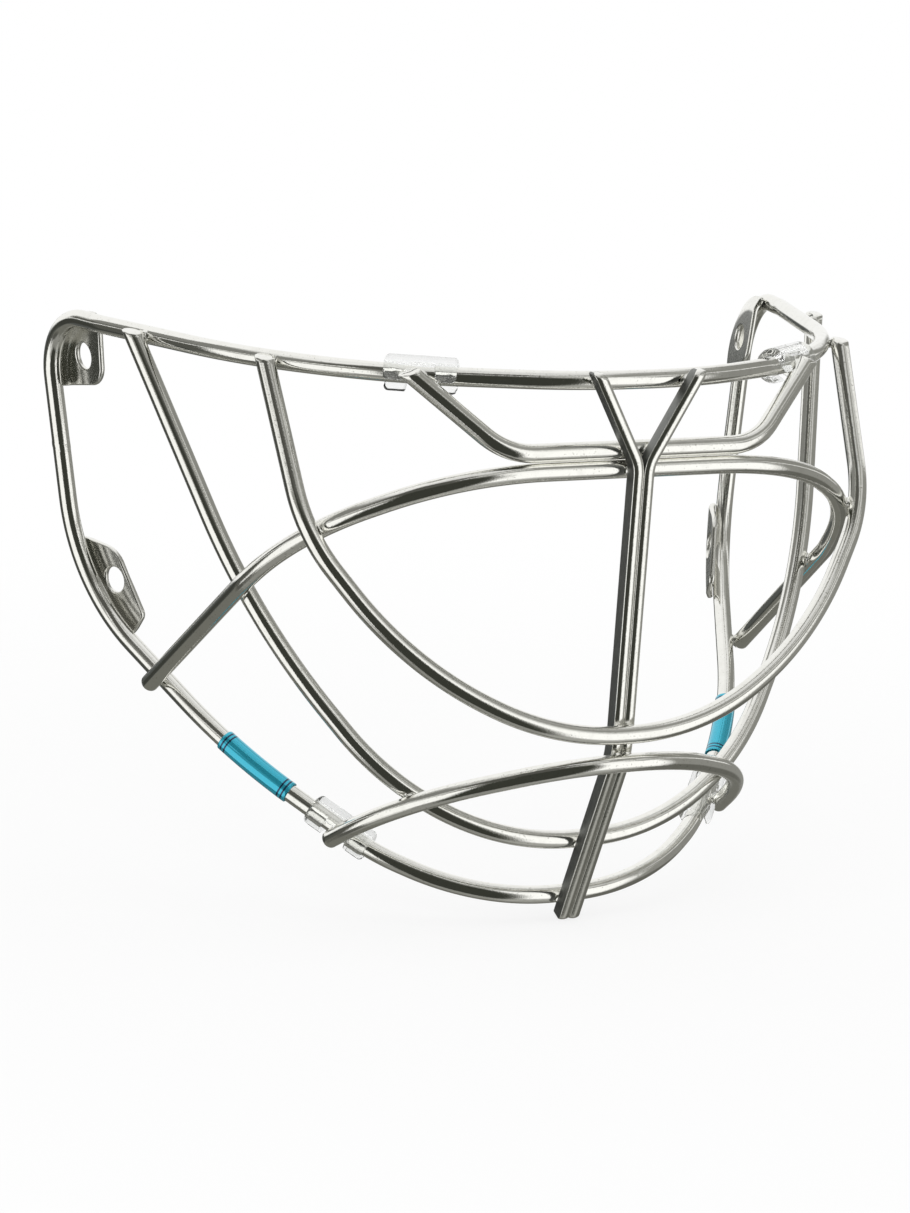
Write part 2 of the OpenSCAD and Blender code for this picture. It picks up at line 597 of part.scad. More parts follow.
module upper_tab() {
  big = corner_r + 2 * wire_d;
  placed(corner_c, corner_1, corner_2) intersection() {
    dish(corner_r, upper_tab_stand, 0, 0, 360);
    difference() {
      linear_extrude(big) outline([[-upper_tab_below, big, 0], [-upper_tab_below, -upper_tab_front, 0],
        [big, -upper_tab_front, 0], [big, big, 0]], [0, upper_tab_r, 0, 0]);
      translate([upper_hole_up, upper_hole_back, 0]) cylinder(d = tab_hole_d, h = big);
    }
  }
}
module lower_tab() {
  a = polar(ear_r, lower_tab_start);
  b = polar(ear_r - lower_tab_reach, lower_tab_corner);
  placed(ear_c, ear_1, ear_2) intersection() {
    dish(ear_r, lower_tab_stand, ear_r - 2 * lower_tab_reach, lower_tab_start / 4,
      lower_tab_tip);
    difference() {
      linear_extrude(ear_r) outline([a + 0.6 * (a - b), b, polar(ear_r - lower_tip_reach, lower_tab_tip),
        polar(ear_r + wire_d, lower_tab_tip)], [0, lower_tab_r, lower_tip_r, 0]);
      translate(polar(ear_r - lower_hole_in, lower_hole_at)) cylinder(d = tab_hole_d, h = ear_r);
    }
  }
}
module upper_right_tab() { color("silver") in_frame() upper_tab(); }
module upper_left_tab() { color("silver") in_frame() mirror([1, 0, 0]) upper_tab(); }
module lower_right_tab() { color("silver") in_frame() lower_tab(); }
module lower_left_tab() { color("silver") in_frame() mirror([1, 0, 0]) lower_tab(); }

// A clip on a stretch of the frame: a thick-walled tube with bevelled ends, open along its length below the
// front, with a notch in front and underneath for the wire through v and c.
module clip(at_frame, v, c) {
  m = at_frame[0];
  x = at_frame[1];
  n = unit((c - m) - ((c - m) * x) * x);
  up = cross(x, n)[2] > 0 ? 1 : -1;
  half = clip_len / 2;
  outer = clip_or + clip_crown / 2;
  far = 2 * clip_len;
  difference() {
    placed(m, x, n) difference() {
      translate([0, 0, up * clip_crown / 2]) rotate([0, 90, 0]) rotate_extrude() polygon([[0, -half],
        [outer - clip_edge, -half], [outer, clip_edge - half], [outer, half - clip_edge],
        [outer - clip_edge, half], [0, half]]);
      translate([-clip_len, 0, 0]) rotate([0, 90, 0]) cylinder(r = clip_or - clip_wall, h = far);
      rotate([-up * clip_slot_at, 0, 0]) translate([-clip_len, 0, -clip_slot / 2])
        cube([far, far, clip_slot]);
      translate([-clip_notch / 2, 0, up > 0 ? -far : -wire_d / 2]) cube([clip_notch, far, far + wire_d / 2]);
      translate([-clip_notch / 2, -far, up > 0 ? -far : wire_d / 2])
        cube([clip_notch, 2 * far, far - wire_d / 2]);
    }
    straight(v, past(v, c, clip_len), wire_d + 2 * clip_clearance);
  }
}
module upper_clip() { clip(clip_at(frame_p, frame_r, brow_reach), brow_v, brow_c); }
module lower_clip() { clip(clip_at(lower_p, lower_r, chin_on_frame), chin_w, chin_d); }
module upper_right_clip() { color("white", 0.6) in_frame() upper_clip(); }
module upper_left_clip() { color("white", 0.6) in_frame() mirror([1, 0, 0]) upper_clip(); }
module lower_right_clip() { color("white", 0.6) in_frame() lower_clip(); }
module lower_left_clip() { color("white", 0.6) in_frame() mirror([1, 0, 0]) lower_clip(); }

// A film sleeve around the frame wire, above a lower clip.
module label_sleeve() {
  start = chin_on_frame + clip_len / 2 + label_from_clip;
  bore = wire_d + 2 * label_gap;
  stretch(lower_p, lower_r, start, start + label_len, bore + 2 * label_wall, bore);
}
module right_label_sleeve() { color("deepskyblue") in_frame() label_sleeve(); }
module left_label_sleeve() { color("deepskyblue") in_frame() mirror([1, 0, 0]) label_sleeve(); }

perimeter_wire();
outer_u_wire();
inner_u_wire();
brow_wire();
cross_wire();
chin_wire();
left_y_bar();
right_y_bar();
upper_left_tab();
upper_right_tab();
lower_left_tab();
lower_right_tab();
upper_left_clip();
upper_right_clip();
lower_left_clip();
lower_right_clip();
left_label_sleeve();
right_label_sleeve();
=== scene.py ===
import math
import bpy
import numpy as np
from mathutils import Matrix


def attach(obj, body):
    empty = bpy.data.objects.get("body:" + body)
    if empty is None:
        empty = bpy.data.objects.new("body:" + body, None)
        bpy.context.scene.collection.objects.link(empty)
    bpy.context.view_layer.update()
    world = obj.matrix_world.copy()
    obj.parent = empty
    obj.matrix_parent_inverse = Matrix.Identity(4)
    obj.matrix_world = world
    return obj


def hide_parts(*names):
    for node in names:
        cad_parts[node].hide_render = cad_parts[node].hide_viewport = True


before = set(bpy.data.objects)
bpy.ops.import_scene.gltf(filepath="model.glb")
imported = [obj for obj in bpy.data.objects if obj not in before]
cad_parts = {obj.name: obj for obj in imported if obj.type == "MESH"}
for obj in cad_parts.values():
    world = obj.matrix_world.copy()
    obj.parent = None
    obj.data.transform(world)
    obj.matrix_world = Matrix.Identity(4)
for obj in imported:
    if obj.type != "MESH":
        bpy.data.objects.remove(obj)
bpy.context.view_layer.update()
print("frame loaded, nodes:", len(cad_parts))

# All shapes below are worked out in millimetres with the top bar's middle at z = 0 and the
# bars' back edge at y = 0, and are moved to the guard's own middle when their mesh is made.
guard = {
    "middle": (0.0, 65.8129, -73.8),
    "hub": (0.0, 70.0, -60.0),  # a point inside the guard that the rings of a wire turn towards
    "wireRadius": 2.5,
    "step": 1.2,  # spacing of the rings along a wire
    "around": 32,  # points of a ring
    "endChamfer": 0.45,
    "chamferMiddle": (0.4, 0.3),  # shares of its length and depth where the chamfer turns
    "weldGap": 0.1,  # air between two pieces that are welded
    "slantOver": 6.0,  # length over which a wire is drawn out to its slanted cut
}


def unit(v):  # each vector divided by its length
    return v / np.linalg.norm(v, axis=-1, keepdims=True)


def dot(a, b):  # sum of products, kept as a column
    return (a * b).sum(-1, keepdims=True)


def fullTurn(count):  # angles around
    return np.linspace(0, 2 * np.pi, count, endpoint=False)


def flipSide(grid):  # the same points on the other side of the middle plane
    return grid * np.array([-1.0, 1.0, 1.0])


def otherSide(part):  # the mirrored shell, its faces turned back outwards
    return dict(part, points=flipSide(part["points"]), quads=part["quads"][:, ::-1],
                uv=part["uv"][:, ::-1], ends=[e[::-1] for e in part["ends"]])


def layPath(corners, bends):
    # Straight runs joined by arcs: at a corner with the turn a and bend radius r, both runs
    # are cut back by r tan(a / 2), and the arc is tangent to them.
    p, r = np.array(corners, float), np.array(bends, float)
    d = unit(np.diff(p, axis=0))
    turn = np.zeros(len(p))
    turn[1:-1] = np.arccos(np.clip(dot(d[:-1], d[1:])[:, 0], -1, 1))
    cut = r * np.tan(turn / 2)
    lengths = np.zeros(2 * len(p) - 3)
    lengths[0::2] = np.linalg.norm(np.diff(p, axis=0), axis=1) - cut[:-1] - cut[1:]
    lengths[1::2] = (r * turn)[1:-1]
    return {"p": p, "r": r, "d": d, "cut": cut, "starts": np.concatenate([[0], np.cumsum(lengths)])}


def halfPath(wire, step=1):  # from the middle outwards, or with -1 from the other end
    return layPath(wire["corners"][::step], wire["bends"][::step])


def pathAt(path, s):
    # Point and direction at the lengths s: on a run, corner + length x direction; on a bend,
    # centre + r (sin a x direction before - cos a x direction inwards).
    p, r, d, cut, starts = path["p"], path["r"], path["d"], path["cut"], path["starts"]
    k = np.clip(np.searchsorted(starts, s, side="right") - 1, 0, len(starts) - 2)
    t = (s - starts[k])[:, None]
    i = k // 2
    j = np.clip(i + 1, 1, len(p) - 2)
    before, after = d[j - 1], d[j]
    inward = unit(after - dot(after, before) * before)
    radius = np.maximum(r[j], 1e-6)[:, None]
    a = t / radius
    bendPoint = p[j] - cut[j][:, None] * before \
        + radius * (inward + np.sin(a) * before - np.cos(a) * inward)
    onRun = (k % 2 == 0)[:, None]
    where = np.where(onRun, p[i] + (cut[i][:, None] + t) * d[i], bendPoint)
    return where, np.where(onRun, d[i], np.cos(a) * before + np.sin(a) * inward)


def wholePath(half):
    # Both halves of a wire that crosses the middle plane: the mirrored half backwards, then the
    # half. A closed one goes down the given side and up the mirrored one.
    p, r = np.array(half["corners"], float), list(half["bends"])
    if half.get("closed"):
        corners = np.vstack([p[:-1], flipSide(p[:-1])[::-1]])
        return layPath(corners, r[:-1] + r[:-1][::-1])
    return layPath(np.vstack([flipSide(p)[::-1][:-1], p[1:]]), r[::-1][:-1] + r[1:])


def ringGrid(path, s, radius, around):
    # A round tube: point of the path + radius (cos f x side + sin f x across), where side points
    # away from the hub, square to the path.
    where, along = pathAt(path, s)
    away = where - np.array(guard["hub"])
    side = unit(away - dot(away, along) * along)
    across = np.cross(along, side)
    f = fullTurn(around)
    radius = np.broadcast_to(np.asarray(radius, float).reshape(len(s), -1), (len(s), around))
    spoke = np.cos(f)[:, None] * side[:, None] + np.sin(f)[:, None] * across[:, None]
    return where[:, None] + radius[..., None] * spoke


def shell(grid, wrapAlong=False, s=None, width=1, pairedEnds=False):
    # Faces between neighbouring points of a grid that closes around itself, with flat ends
    # unless it closes along too, turned to give a positive volume, the sum of
    # a . (b x c) + a . (c x d). The lay coordinates are the width around and s along.
    n, m = grid.shape[:2]
    index = np.arange(n * m).reshape(n, m)
    rows = np.vstack([index, index[:1]]) if wrapAlong else index
    rows = np.hstack([rows, rows[:, :1]])
    quads = np.stack([rows[:-1, :-1], rows[:-1, 1:], rows[1:, 1:], rows[1:, :-1]], -1).reshape(-1, 4)
    count = rows.shape[0]
    v = np.arange(count, dtype=float) if s is None else np.append(s, s[-1] + s[1] - s[0])[:count]
    u = np.linspace(0, width, rows.shape[1])
    vu = np.stack(np.broadcast_arrays(u[None, :], v[:, None]), -1)
    uv = np.stack([vu[:-1, :-1], vu[:-1, 1:], vu[1:, 1:], vu[1:, :-1]], 2).reshape(-1, 4, 2)
    points = grid.reshape(-1, 3)
    a, b, c, d = (points[quads[:, i]] - points[0] for i in range(4))
    volume = (dot(a, np.cross(b, c)) + dot(a, np.cross(c, d))).sum()
    ends = [] if wrapAlong or pairedEnds else [index[0, ::-1], index[-1]]
    if pairedEnds:  # the first half of a ring is joined to its second half
        j = np.arange(m // 2 - 1)
        for row, turned in ((index[-1], 1), (index[0], -1)):
            cap = np.stack([row[j], row[j + 1], row[m - 2 - j], row[m - 1 - j]], -1)[:, ::turned]
            quads = np.vstack([quads, cap])
            uv = np.vstack([uv, np.zeros((len(cap), 4, 2))])
    if volume < 0:
        quads, uv, ends = quads[:, ::-1], uv[:, ::-1], [e[::-1] for e in ends]
    t = np.linspace(0, 6.28, m, endpoint=False)
    endUv = [np.stack([np.cos(t), np.sin(t)], -1) * 2] * len(ends)
    return {"points": points, "quads": quads, "ends": ends, "uv": uv, "endUv": endUv}


def addObject(name, data):  # a new object in the scene
    thing = bpy.data.objects.new(name, data)
    bpy.context.scene.collection.objects.link(thing)
    return thing


def placeAt(thing, x, y, z, place):  # its matrix holds its three axes and its place as columns
    thing.matrix_world = Matrix([[x[k], y[k], z[k], place[k]] for k in range(3)] + [[0, 0, 0, 1]])


def makePiece(name, shells, material, replaced=None, sharp=38):
    # One mesh from closed shells, moved from millimetres about the top bar to metres about the
    # middle. Edges sharper than the given degrees stay sharp.
    points = (np.vstack([part["points"] for part in shells]) - np.array(guard["middle"])) * 0.001
    offsets = np.cumsum([0] + [len(part["points"]) for part in shells])
    faces, uv = [], []
    for part, first in zip(shells, offsets):
        faces += (part["quads"] + first).tolist() + [(e + first).tolist() for e in part["ends"]]
        uv += [part["uv"].reshape(-1, 2)] + part["endUv"]
    mesh = bpy.data.meshes.new(name)
    mesh.from_pydata(points.tolist(), [], faces)
    lay = (np.vstack(uv) * 0.001).ravel().astype(np.float32)
    mesh.uv_layers.new(name="lay").data.foreach_set("uv", lay)
    mesh.shade_smooth()
    mesh.set_sharp_from_angle(angle=math.radians(sharp))
    mesh.materials.append(material)
    piece = addObject(name, mesh)
    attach(piece, "root")
    if replaced:
        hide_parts(replaced)
    print(name, "faces:", len(faces))


def makePair(name, right, material, node, sharp=38):
    # The right piece and its mirror image; "side" in both names stands for right or left.
    for side, part in (("right", right), ("left", otherSide(right))):
        sideName = name.replace("side", side).replace("Side", side.title())
        makePiece(sideName, [part], material, node.replace("side", side), sharp)


def makeGroup(name, inputs, outputs):  # an empty node group with named sockets
    group = bpy.data.node_groups.new(name, "ShaderNodeTree")
    for way, sockets in (("INPUT", inputs), ("OUTPUT", outputs)):
        for label, kind in sockets.items():
            group.interface.new_socket(label, in_out=way, socket_type="NodeSocket" + kind)
    return group, group.nodes.new("NodeGroupInput"), group.nodes.new("NodeGroupOutput")


def feed(socket, value):  # an output is linked to the socket, anything else is its value
    if isinstance(value, bpy.types.NodeSocket):
        socket.id_data.links.new(value, socket)
    else:
        socket.default_value = value


def setInputs(node, values):
    for key, value in values.items():
        feed(node.inputs[key], value)


def addNode(tree, kind, **settings):  # settings are properties of the node, or feed its inputs
    node = tree.nodes.new("ShaderNode" + kind)
    for key, value in settings.items():
        if hasattr(node, key):
            setattr(node, key, value)
        else:
            feed(node.inputs[key.replace("_", " ")], value)
    return node


def rampNode(tree, fac, low, high):  # 0 below low, 1 above high, smooth between
    return addNode(tree, "MapRange", interpolation_type="SMOOTHSTEP", Value=fac,
                   From_Min=low, From_Max=high).outputs["Result"]


def mathNode(tree, operation, *values):
    node = addNode(tree, "Math", operation=operation)
    for socket, value in zip(node.inputs, values):
        feed(socket, value)
    return node.outputs[0]


def times(tree, a, b):
    return mathNode(tree, "MULTIPLY", a, b)


def mixColour(tree, share, a, b):  # from a to b
    return addNode(tree, "Mix", data_type="RGBA", Factor=share, A=a, B=b).outputs["Result"]


def layParts(tree):  # the lay coordinates: X around a section, Y along the piece
    lay = addNode(tree, "UVMap", uv_map="lay")
    return addNode(tree, "SeparateXYZ", Vector=lay.outputs["UV"]).outputs


def objectPlace(tree):
    return addNode(tree, "TexCoord").outputs["Object"]


def stripMask(tree, value, places, half):  # 1 where the value is within half of one of the places
    mask = 0.0
    for place in places:
        mask = mathNode(tree, "MAXIMUM", mask, mathNode(tree, "COMPARE", value, place, half))
    return mask


def emptyTree(owner):  # the cleared node tree of a material or of the world
    owner.use_nodes = True
    owner.node_tree.nodes.clear()
    return owner.node_tree


def newMaterial(name):
    material = bpy.data.materials.new(name)
    tree = emptyTree(material)
    shader = addNode(tree, "BsdfPrincipled")
    addNode(tree, "OutputMaterial", Surface=shader.outputs["BSDF"])
    return material, tree, shader


# What the plating shows close up: each noise as scale, detail and roughness, and the noise levels
# between which its marks fade in.
coating = {
    "cloud": (260.0, 4.0, 0.6), "cloudLevels": (0.45, 0.75),
    "speck": (1500.0, 2.0, 0.5), "speckLevels": (0.62, 0.74), "speckStrength": 0.8, "speckPit": 0.5,
    "grain": (2600.0, 3.0, 0.65), "markRough": 0.22, "bumpReach": 0.0002,
}


def platedGroup():
    # Nickel plating: clouds and specks tint the colour and dull the gloss, and fine grain lifts
    # the surface.
    tree, given, out = makeGroup(
        "nickelPlating",
        {"Vector": "Vector", "Bright": "Color", "Dull": "Color", "Gloss": "Float", "Clouds": "Float",
         "Grain": "Float"},
        {"Color": "Color", "Roughness": "Float", "Height": "Float"})
    noise = {}
    for key in ("cloud", "speck", "grain"):
        scale, detail, rough = coating[key]
        noise[key] = addNode(tree, "TexNoise", Vector=given.outputs["Vector"], Scale=scale,
                             Detail=detail, Roughness=rough).outputs["Fac"]
    cloud = rampNode(tree, noise["cloud"], *coating["cloudLevels"])
    clouds = times(tree, cloud, given.outputs["Clouds"])
    speck = rampNode(tree, noise["speck"], *coating["speckLevels"])
    specks = times(tree, speck, coating["speckStrength"])
    marks = mathNode(tree, "MAXIMUM", clouds, specks)
    rough = times(tree, marks, coating["markRough"])
    grain = times(tree, noise["grain"], given.outputs["Grain"])
    pits = times(tree, specks, coating["speckPit"])
    setInputs(out, {"Color": mixColour(tree, marks, given.outputs["Bright"], given.outputs["Dull"]),
                    "Roughness": mathNode(tree, "ADD", given.outputs["Gloss"], rough),
                    "Height": mathNode(tree, "SUBTRACT", grain, pits)})
    return tree


def platedMaterial(name, look, group):
    # A metal whose colour, gloss and grain come from the plating group on object coordinates.
    material, tree, shader = newMaterial(name)
    plating = addNode(tree, "Group", node_tree=group)
    setInputs(plating, {key: look[key] for key in ("Bright", "Dull", "Gloss", "Clouds", "Grain")})
    feed(plating.inputs["Vector"], objectPlace(tree))
    colour, rough = plating.outputs["Color"], plating.outputs["Roughness"]
    if "Sides" in look:
        # the flat sides, found by the place around the section, get a painted darker shade and are duller
        sides = [at * 0.001 for at in look["Sides"]]
        side = stripMask(tree, layParts(tree)["X"], sides, look["SideHalf"] * 0.001)
        colour = mixColour(tree, side, colour, look["SideShadeColour"])
        rough = mathNode(tree, "ADD", rough, times(tree, side, look["SideRough"]))
    bump = addNode(tree, "Bump", Strength=look["Bump"], Distance=coating["bumpReach"],
                   Height=plating.outputs["Height"])
    setInputs(shader, {"Base Color": colour, "Metallic": 1.0, "Roughness": rough,
                       "Normal": bump.outputs["Normal"]})
    return material


# A bar's section: its points, the width that they are laid out on, and the places of its two flat
# sides, counted in points.
barLap = {"points": 34, "width": 15.0, "sides": (9.5, 33.5)}
wireLook = {
    "Bright": (0.92, 0.915, 0.88, 1), "Dull": (0.62, 0.61, 0.56, 1),
    "Gloss": 0.03, "Clouds": 0.2, "Grain": 1.0, "Bump": 0.08,
}
barLook = {
    "Bright": (0.92, 0.915, 0.88, 1), "Dull": (0.60, 0.60, 0.55, 1),
    "Gloss": 0.045, "Clouds": 0.25, "Grain": 1.0, "Bump": 0.12,
    "Sides": [at / barLap["points"] * barLap["width"] for at in barLap["sides"]],
    "SideHalf": 0.5 / barLap["points"] * barLap["width"],
    # painted shade: the bar's flat sides are coloured dark grey
    "SideShadeColour": (0.27, 0.275, 0.265, 1), "SideRough": 0.38,
}
tabLook = {
    "Bright": (0.90, 0.895, 0.86, 1), "Dull": (0.55, 0.55, 0.50, 1),
    "Gloss": 0.15, "Clouds": 0.15, "Grain": 1.0, "Bump": 0.05,
}
nickel = platedGroup()
wireMetal = platedMaterial("wireNickel", wireLook, nickel)
barMetal = platedMaterial("barNickel", barLook, nickel)
tabMetal = platedMaterial("tabNickel", tabLook, nickel)

plasticLook = {
    "flowScale": 220.0, "flowDetail": 3.0, "tints": ((0.95, 0.955, 0.95, 1), (0.985, 0.99, 0.985, 1)),
    "roughLow": 0.002, "roughRange": 0.008,
    "fixed": {"Transmission Weight": 0.97, "IOR": 1.12, "Coat Weight": 0.35, "Coat Roughness": 0.05},
}
filmLook = {
    "tints": ((0.035, 0.50, 0.68, 1), (0.006, 0.035, 0.09, 1)),  # of the film and of its rings
    "fixed": {"Roughness": 0.10, "Metallic": 0.65, "Coat Weight": 0.8, "Coat Roughness": 0.04},
}


def clearPlastic():
    # Clear moulded plastic with a faint flow pattern in its tint and gloss.
    material, tree, shader = newMaterial("clearPlastic")
    flow = addNode(tree, "TexNoise", Vector=objectPlace(tree), Scale=plasticLook["flowScale"],
                   Detail=plasticLook["flowDetail"]).outputs["Fac"]
    rough = times(tree, flow, plasticLook["roughRange"])
    rough = mathNode(tree, "ADD", rough, plasticLook["roughLow"])
    setInputs(shader, {"Base Color": mixColour(tree, flow, *plasticLook["tints"]), "Roughness": rough})
    setInputs(shader, plasticLook["fixed"])
    return material


def blueFilm():
    # Clear blue film with two dark rings near each end, drawn by the distance from the sleeve's
    # middle along the wire.
    material, tree, shader = newMaterial("blueFilm")
    distance = mathNode(tree, "SUBTRACT", layParts(tree)["Y"], sleeve["length"] / 2 * 0.001)
    distance = mathNode(tree, "ABSOLUTE", distance)
    rings = [at * 0.001 for at in sleeve["rings"]]
    ring = stripMask(tree, distance, rings, sleeve["ringWidth"] / 2 * 0.001)
    feed(shader.inputs["Base Color"], mixColour(tree, ring, *filmLook["tints"]))
    setInputs(shader, filmLook["fixed"])
    return material


# Wires: half of each, from the middle plane outwards, as corner points with bend radii.
perimeter = {
    "corners": [(0, 2.603, 0), (18, 2.603, 0), (49.5, 15.603, 0), (84.5, 39.103, 0), (107.5, 109.103, 0),
                (113.5, 137.103, 0), (104, 130.103, -77.5), (78.5, 75.603, -113.5), (50, 44.103, -135.5),
                (24.5, 27.5815, -146.5), (0, 27.5815, -146.5)],
    "bends": [0, 80, 30, 104, 35, 17, 52, 160, 56, 64, 0],
    "closed": True,
}
outerU = {
    "corners": [(0, 19.364, -128.5), (25.5, 19.364, -128.5), (56.5, 31.103, -108.5), (84.5, 51.603, -70.5),
                (106.61, 89.3065, 1.5)],
    "bends": [0, 70, 78, 198, 0],
    "cut": (0.0, -0.12, 1.0),  # direction that the cut end faces
}
innerU = {
    "corners": [(0, -3.847, -93.5), (21.5, -3.847, -93.5), (60.5, 6.603, -73.5),
                (84.0953, 22.1875, -41.0523), (87.3789, 45.0124, 1.5)],
    "bends": [0, 75, 100, 47.113, 0],
    "cut": (0.0, -0.12, 1.0),
}
brow = {
    "corners": [(0, 3.2472, -18.5), (37, 3.2472, -18.5), (59.8932, 16.229, 1.5)], "bends": [0, 18, 0],
    "cut": (0.4, -0.05, 0.9),
}
crossWire = {
    "corners": [(0, 3.4248, -23.6), (32, 3.4248, -23.6), (54.5, 5.9248, -26.1), (84, 27.9248, -42.1),
                (89.6848, 47.8664, -59.106), (94.6326, 98.5248, -98.6435)],
    "bends": [0, 90, 50, 66, 24, 0],
}
chin = {
    "corners": [(0, -2.891, -101.5), (16, -2.891, -101.5), (54.2531, 21.981, -115.081),
                (60.8733, 49.3331, -132.299)],
    "bends": [0, 44, 68.911, 0],
}


def slantEnds(grid, path, s, cut):
    # Near a slanted cut each point moves along the wire by -(its offset . n) / (direction . n),
    # where n is what the cut faces; the move grows evenly over the last few millimetres.
    total = path["starts"][-1]
    middle, along = pathAt(path, s)
    for end, mirrorX in ((total, 1.0), (0.0, -1.0)):
        n = unit(np.array(cut) * (mirrorX, 1.0, 1.0))
        share = np.clip(1 - np.abs(s - end) / guard["slantOver"], 0, 1)[:, None, None]
        lean = np.where(share > 0, dot(along, n)[:, None], 1.0)
        grid = grid - share * dot(grid - middle[:, None], n) / lean * along[:, None]
    return grid


def wireShell(wire):
    # A round wire along its whole path; an open wire gets a small chamfer at each cut end.
    path = wholePath(wire)
    total = path["starts"][-1]
    r, c = guard["wireRadius"], guard["endChamfer"]
    if wire.get("closed"):
        s = np.linspace(0, total, int(total / guard["step"]), endpoint=False)
        return shell(ringGrid(path, s, np.full(len(s), r), guard["around"]), True, s, 2 * np.pi * r)
    length, depth = guard["chamferMiddle"]
    run = np.linspace(c, total - c, int(total / guard["step"]))
    s = np.concatenate([[0, length * c], run, [total - length * c, total]])
    radius = np.full(len(s), r)
    radius[[0, -1]] = r - c
    radius[[1, -2]] = r - depth * c
    grid = ringGrid(path, s, radius, guard["around"])
    if "cut" in wire:
        grid = slantEnds(grid, path, s, wire["cut"])
    return shell(grid, False, s, 2 * np.pi * r)


for name, wire, node in (
        ("frameWire", perimeter, "perimeter_wire"), ("outerWire", outerU, "outer_u_wire"),
        ("innerWire", innerU, "inner_u_wire"), ("browWire", brow, "brow_wire"),
        ("cheekWire", crossWire, "cross_wire"), ("chinWire", chin, "chin_wire")):
    makePiece(name, [wireShell(wire)], wireMetal, node)

# The two flat bars that form the Y. Their front view and side view follow the solids.
yBar = {
    "width": 3.0, "depth": 4.5, "gap": 0.1, "edge": 0.4, "frontEdge": 0.4, "crown": 2.5,
    "endEdge": 1.0, "endNarrow": 0.8, "tip": 0.15, "clear": 1.2, "rings": 150, "endRings": 9,
    "edgePoints": 5, "shoulderPoints": 9, "domePoints": 8,
    "forkHalf": 13.5, "forkDrop": 21.5, "forkBend": 10.0, "armRise": 3.0,
    "kneeBack": 3.5, "kneeDrop": 100.5, "kneeBend": 30.0,
    "footBack": 24.5, "footReach": 6.0, "bowDrop": 146.5, "frontCorner": 2.0,
}


def barAcross(z, a):
    # Front view: x at the height z of the line that runs at the distance a beside the bar's
    # middle: upright, then an arc about a point beside the fork, then the slanted arm.
    x0 = (yBar["width"] + yBar["gap"]) / 2
    slant = math.atan((yBar["forkHalf"] - x0) / yBar["forkDrop"])
    r = yBar["forkBend"]
    z0 = -yBar["forkDrop"] - r * math.tan(slant / 2)
    inner = r - a
    arc = x0 + r - np.sqrt(np.maximum(inner ** 2 - np.clip(z - z0, 0, None) ** 2, 0))
    arm = x0 + r - inner * math.cos(slant) + math.tan(slant) * (z - z0 - inner * math.sin(slant))
    return np.where(z < z0, x0 + a, np.where(z < z0 + inner * math.sin(slant), arc, arm))


def barSide():
    # Side view of the bars' middle line, as a path in the middle plane from the arms' tops down.
    mid = -yBar["depth"] / 2
    lean = yBar["kneeBack"] / yBar["kneeDrop"]
    shin = (yBar["footBack"] - yBar["kneeBack"]) / (yBar["bowDrop"] - yBar["kneeDrop"])
    top = (0, mid - yBar["armRise"] * lean, yBar["armRise"])
    foot = (0, mid + yBar["footBack"] + yBar["footReach"] * shin, -yBar["bowDrop"] - yBar["footReach"])
    return layPath([top, (0, mid + yBar["kneeBack"], -yBar["kneeDrop"]), foot], [0, yBar["kneeBend"], 0])


def roundOff(distance, r):  # depth below a flat face of a quarter circle that ends at the distance 0
    return r - np.sqrt(np.maximum(r * r - np.maximum(r - distance, 0) ** 2, 0))


def barShell():
    # A bar with rounded back edges and a domed front, carried down the side view, while x follows
    # the front view at each point's height. Near both ends its front draws back along a quarter
    # circle. The dome is a flat arc between two tighter ones, tangent to each other.
    path = barSide()
    total = path["starts"][-1]
    r, e, tip = yBar["frontCorner"], yBar["edge"], yBar["tip"]
    quarter = np.pi / 2
    ease = r * (1 - np.cos(np.linspace(0, quarter, yBar["endRings"])))
    run = np.linspace(r + yBar["clear"], total - r - yBar["clear"], yBar["rings"])
    s = np.concatenate([[0], ease + tip, run, total - ease[::-1] - tip, [total]])
    where, along = pathAt(path, s)
    back = unit(np.cross(np.array([1.0, 0, 0]), along))
    back = back * np.sign(back[:, 1:2])
    fromEnd = np.minimum(s, total - s)
    draw = roundOff(fromEnd, r)
    inset = np.where(fromEnd < tip / 2, tip, 0.0)
    q = np.linspace(0, quarter, yBar["edgePoints"])
    halfA, halfO = yBar["width"] / 2, yBar["depth"] / 2
    f, wide = yBar["frontEdge"], yBar["crown"]
    meet = math.asin((halfA - f) / (wide - f))
    n = np.concatenate([np.linspace(-quarter, -meet, yBar["shoulderPoints"]),
                        np.linspace(-meet, meet, yBar["domePoints"])[1:-1],
                        np.linspace(meet, quarter, yBar["shoulderPoints"])])
    beyond = np.sign(n) * np.maximum(np.abs(n), meet)
    dome = np.clip(n, -meet, meet)
    domeA = wide * np.sin(dome) + f * (np.sin(beyond) - np.sign(n) * math.sin(meet))
    domeO = wide * (1 - np.cos(dome)) + f * (math.cos(meet) - np.cos(beyond))
    a = np.concatenate([halfA - e + e * np.cos(q), e - halfA - e * np.sin(q), domeA])
    o = np.concatenate([halfO - e + e * np.sin(q), halfO - e + e * np.cos(q), domeO - halfO])
    share = (o + halfO) / (2 * halfO)  # 0 at the front edge, 1 at the back edge
    draw, inset = draw[:, None], inset[:, None]
    o = (draw + inset - halfO) + share * (2 * halfO - draw - 2 * inset)
    narrow = np.maximum(inset, yBar["endNarrow"] * roundOff(fromEnd, yBar["endEdge"])[:, None])
    grid = where[:, None] + o[..., None] * back[:, None]
    grid[..., 0] = barAcross(grid[..., 2], a * (1 - narrow / halfA))
    return shell(grid, False, s, barLap["width"])


makePair("sideBar", barShell(), barMetal, "side_y_bar")

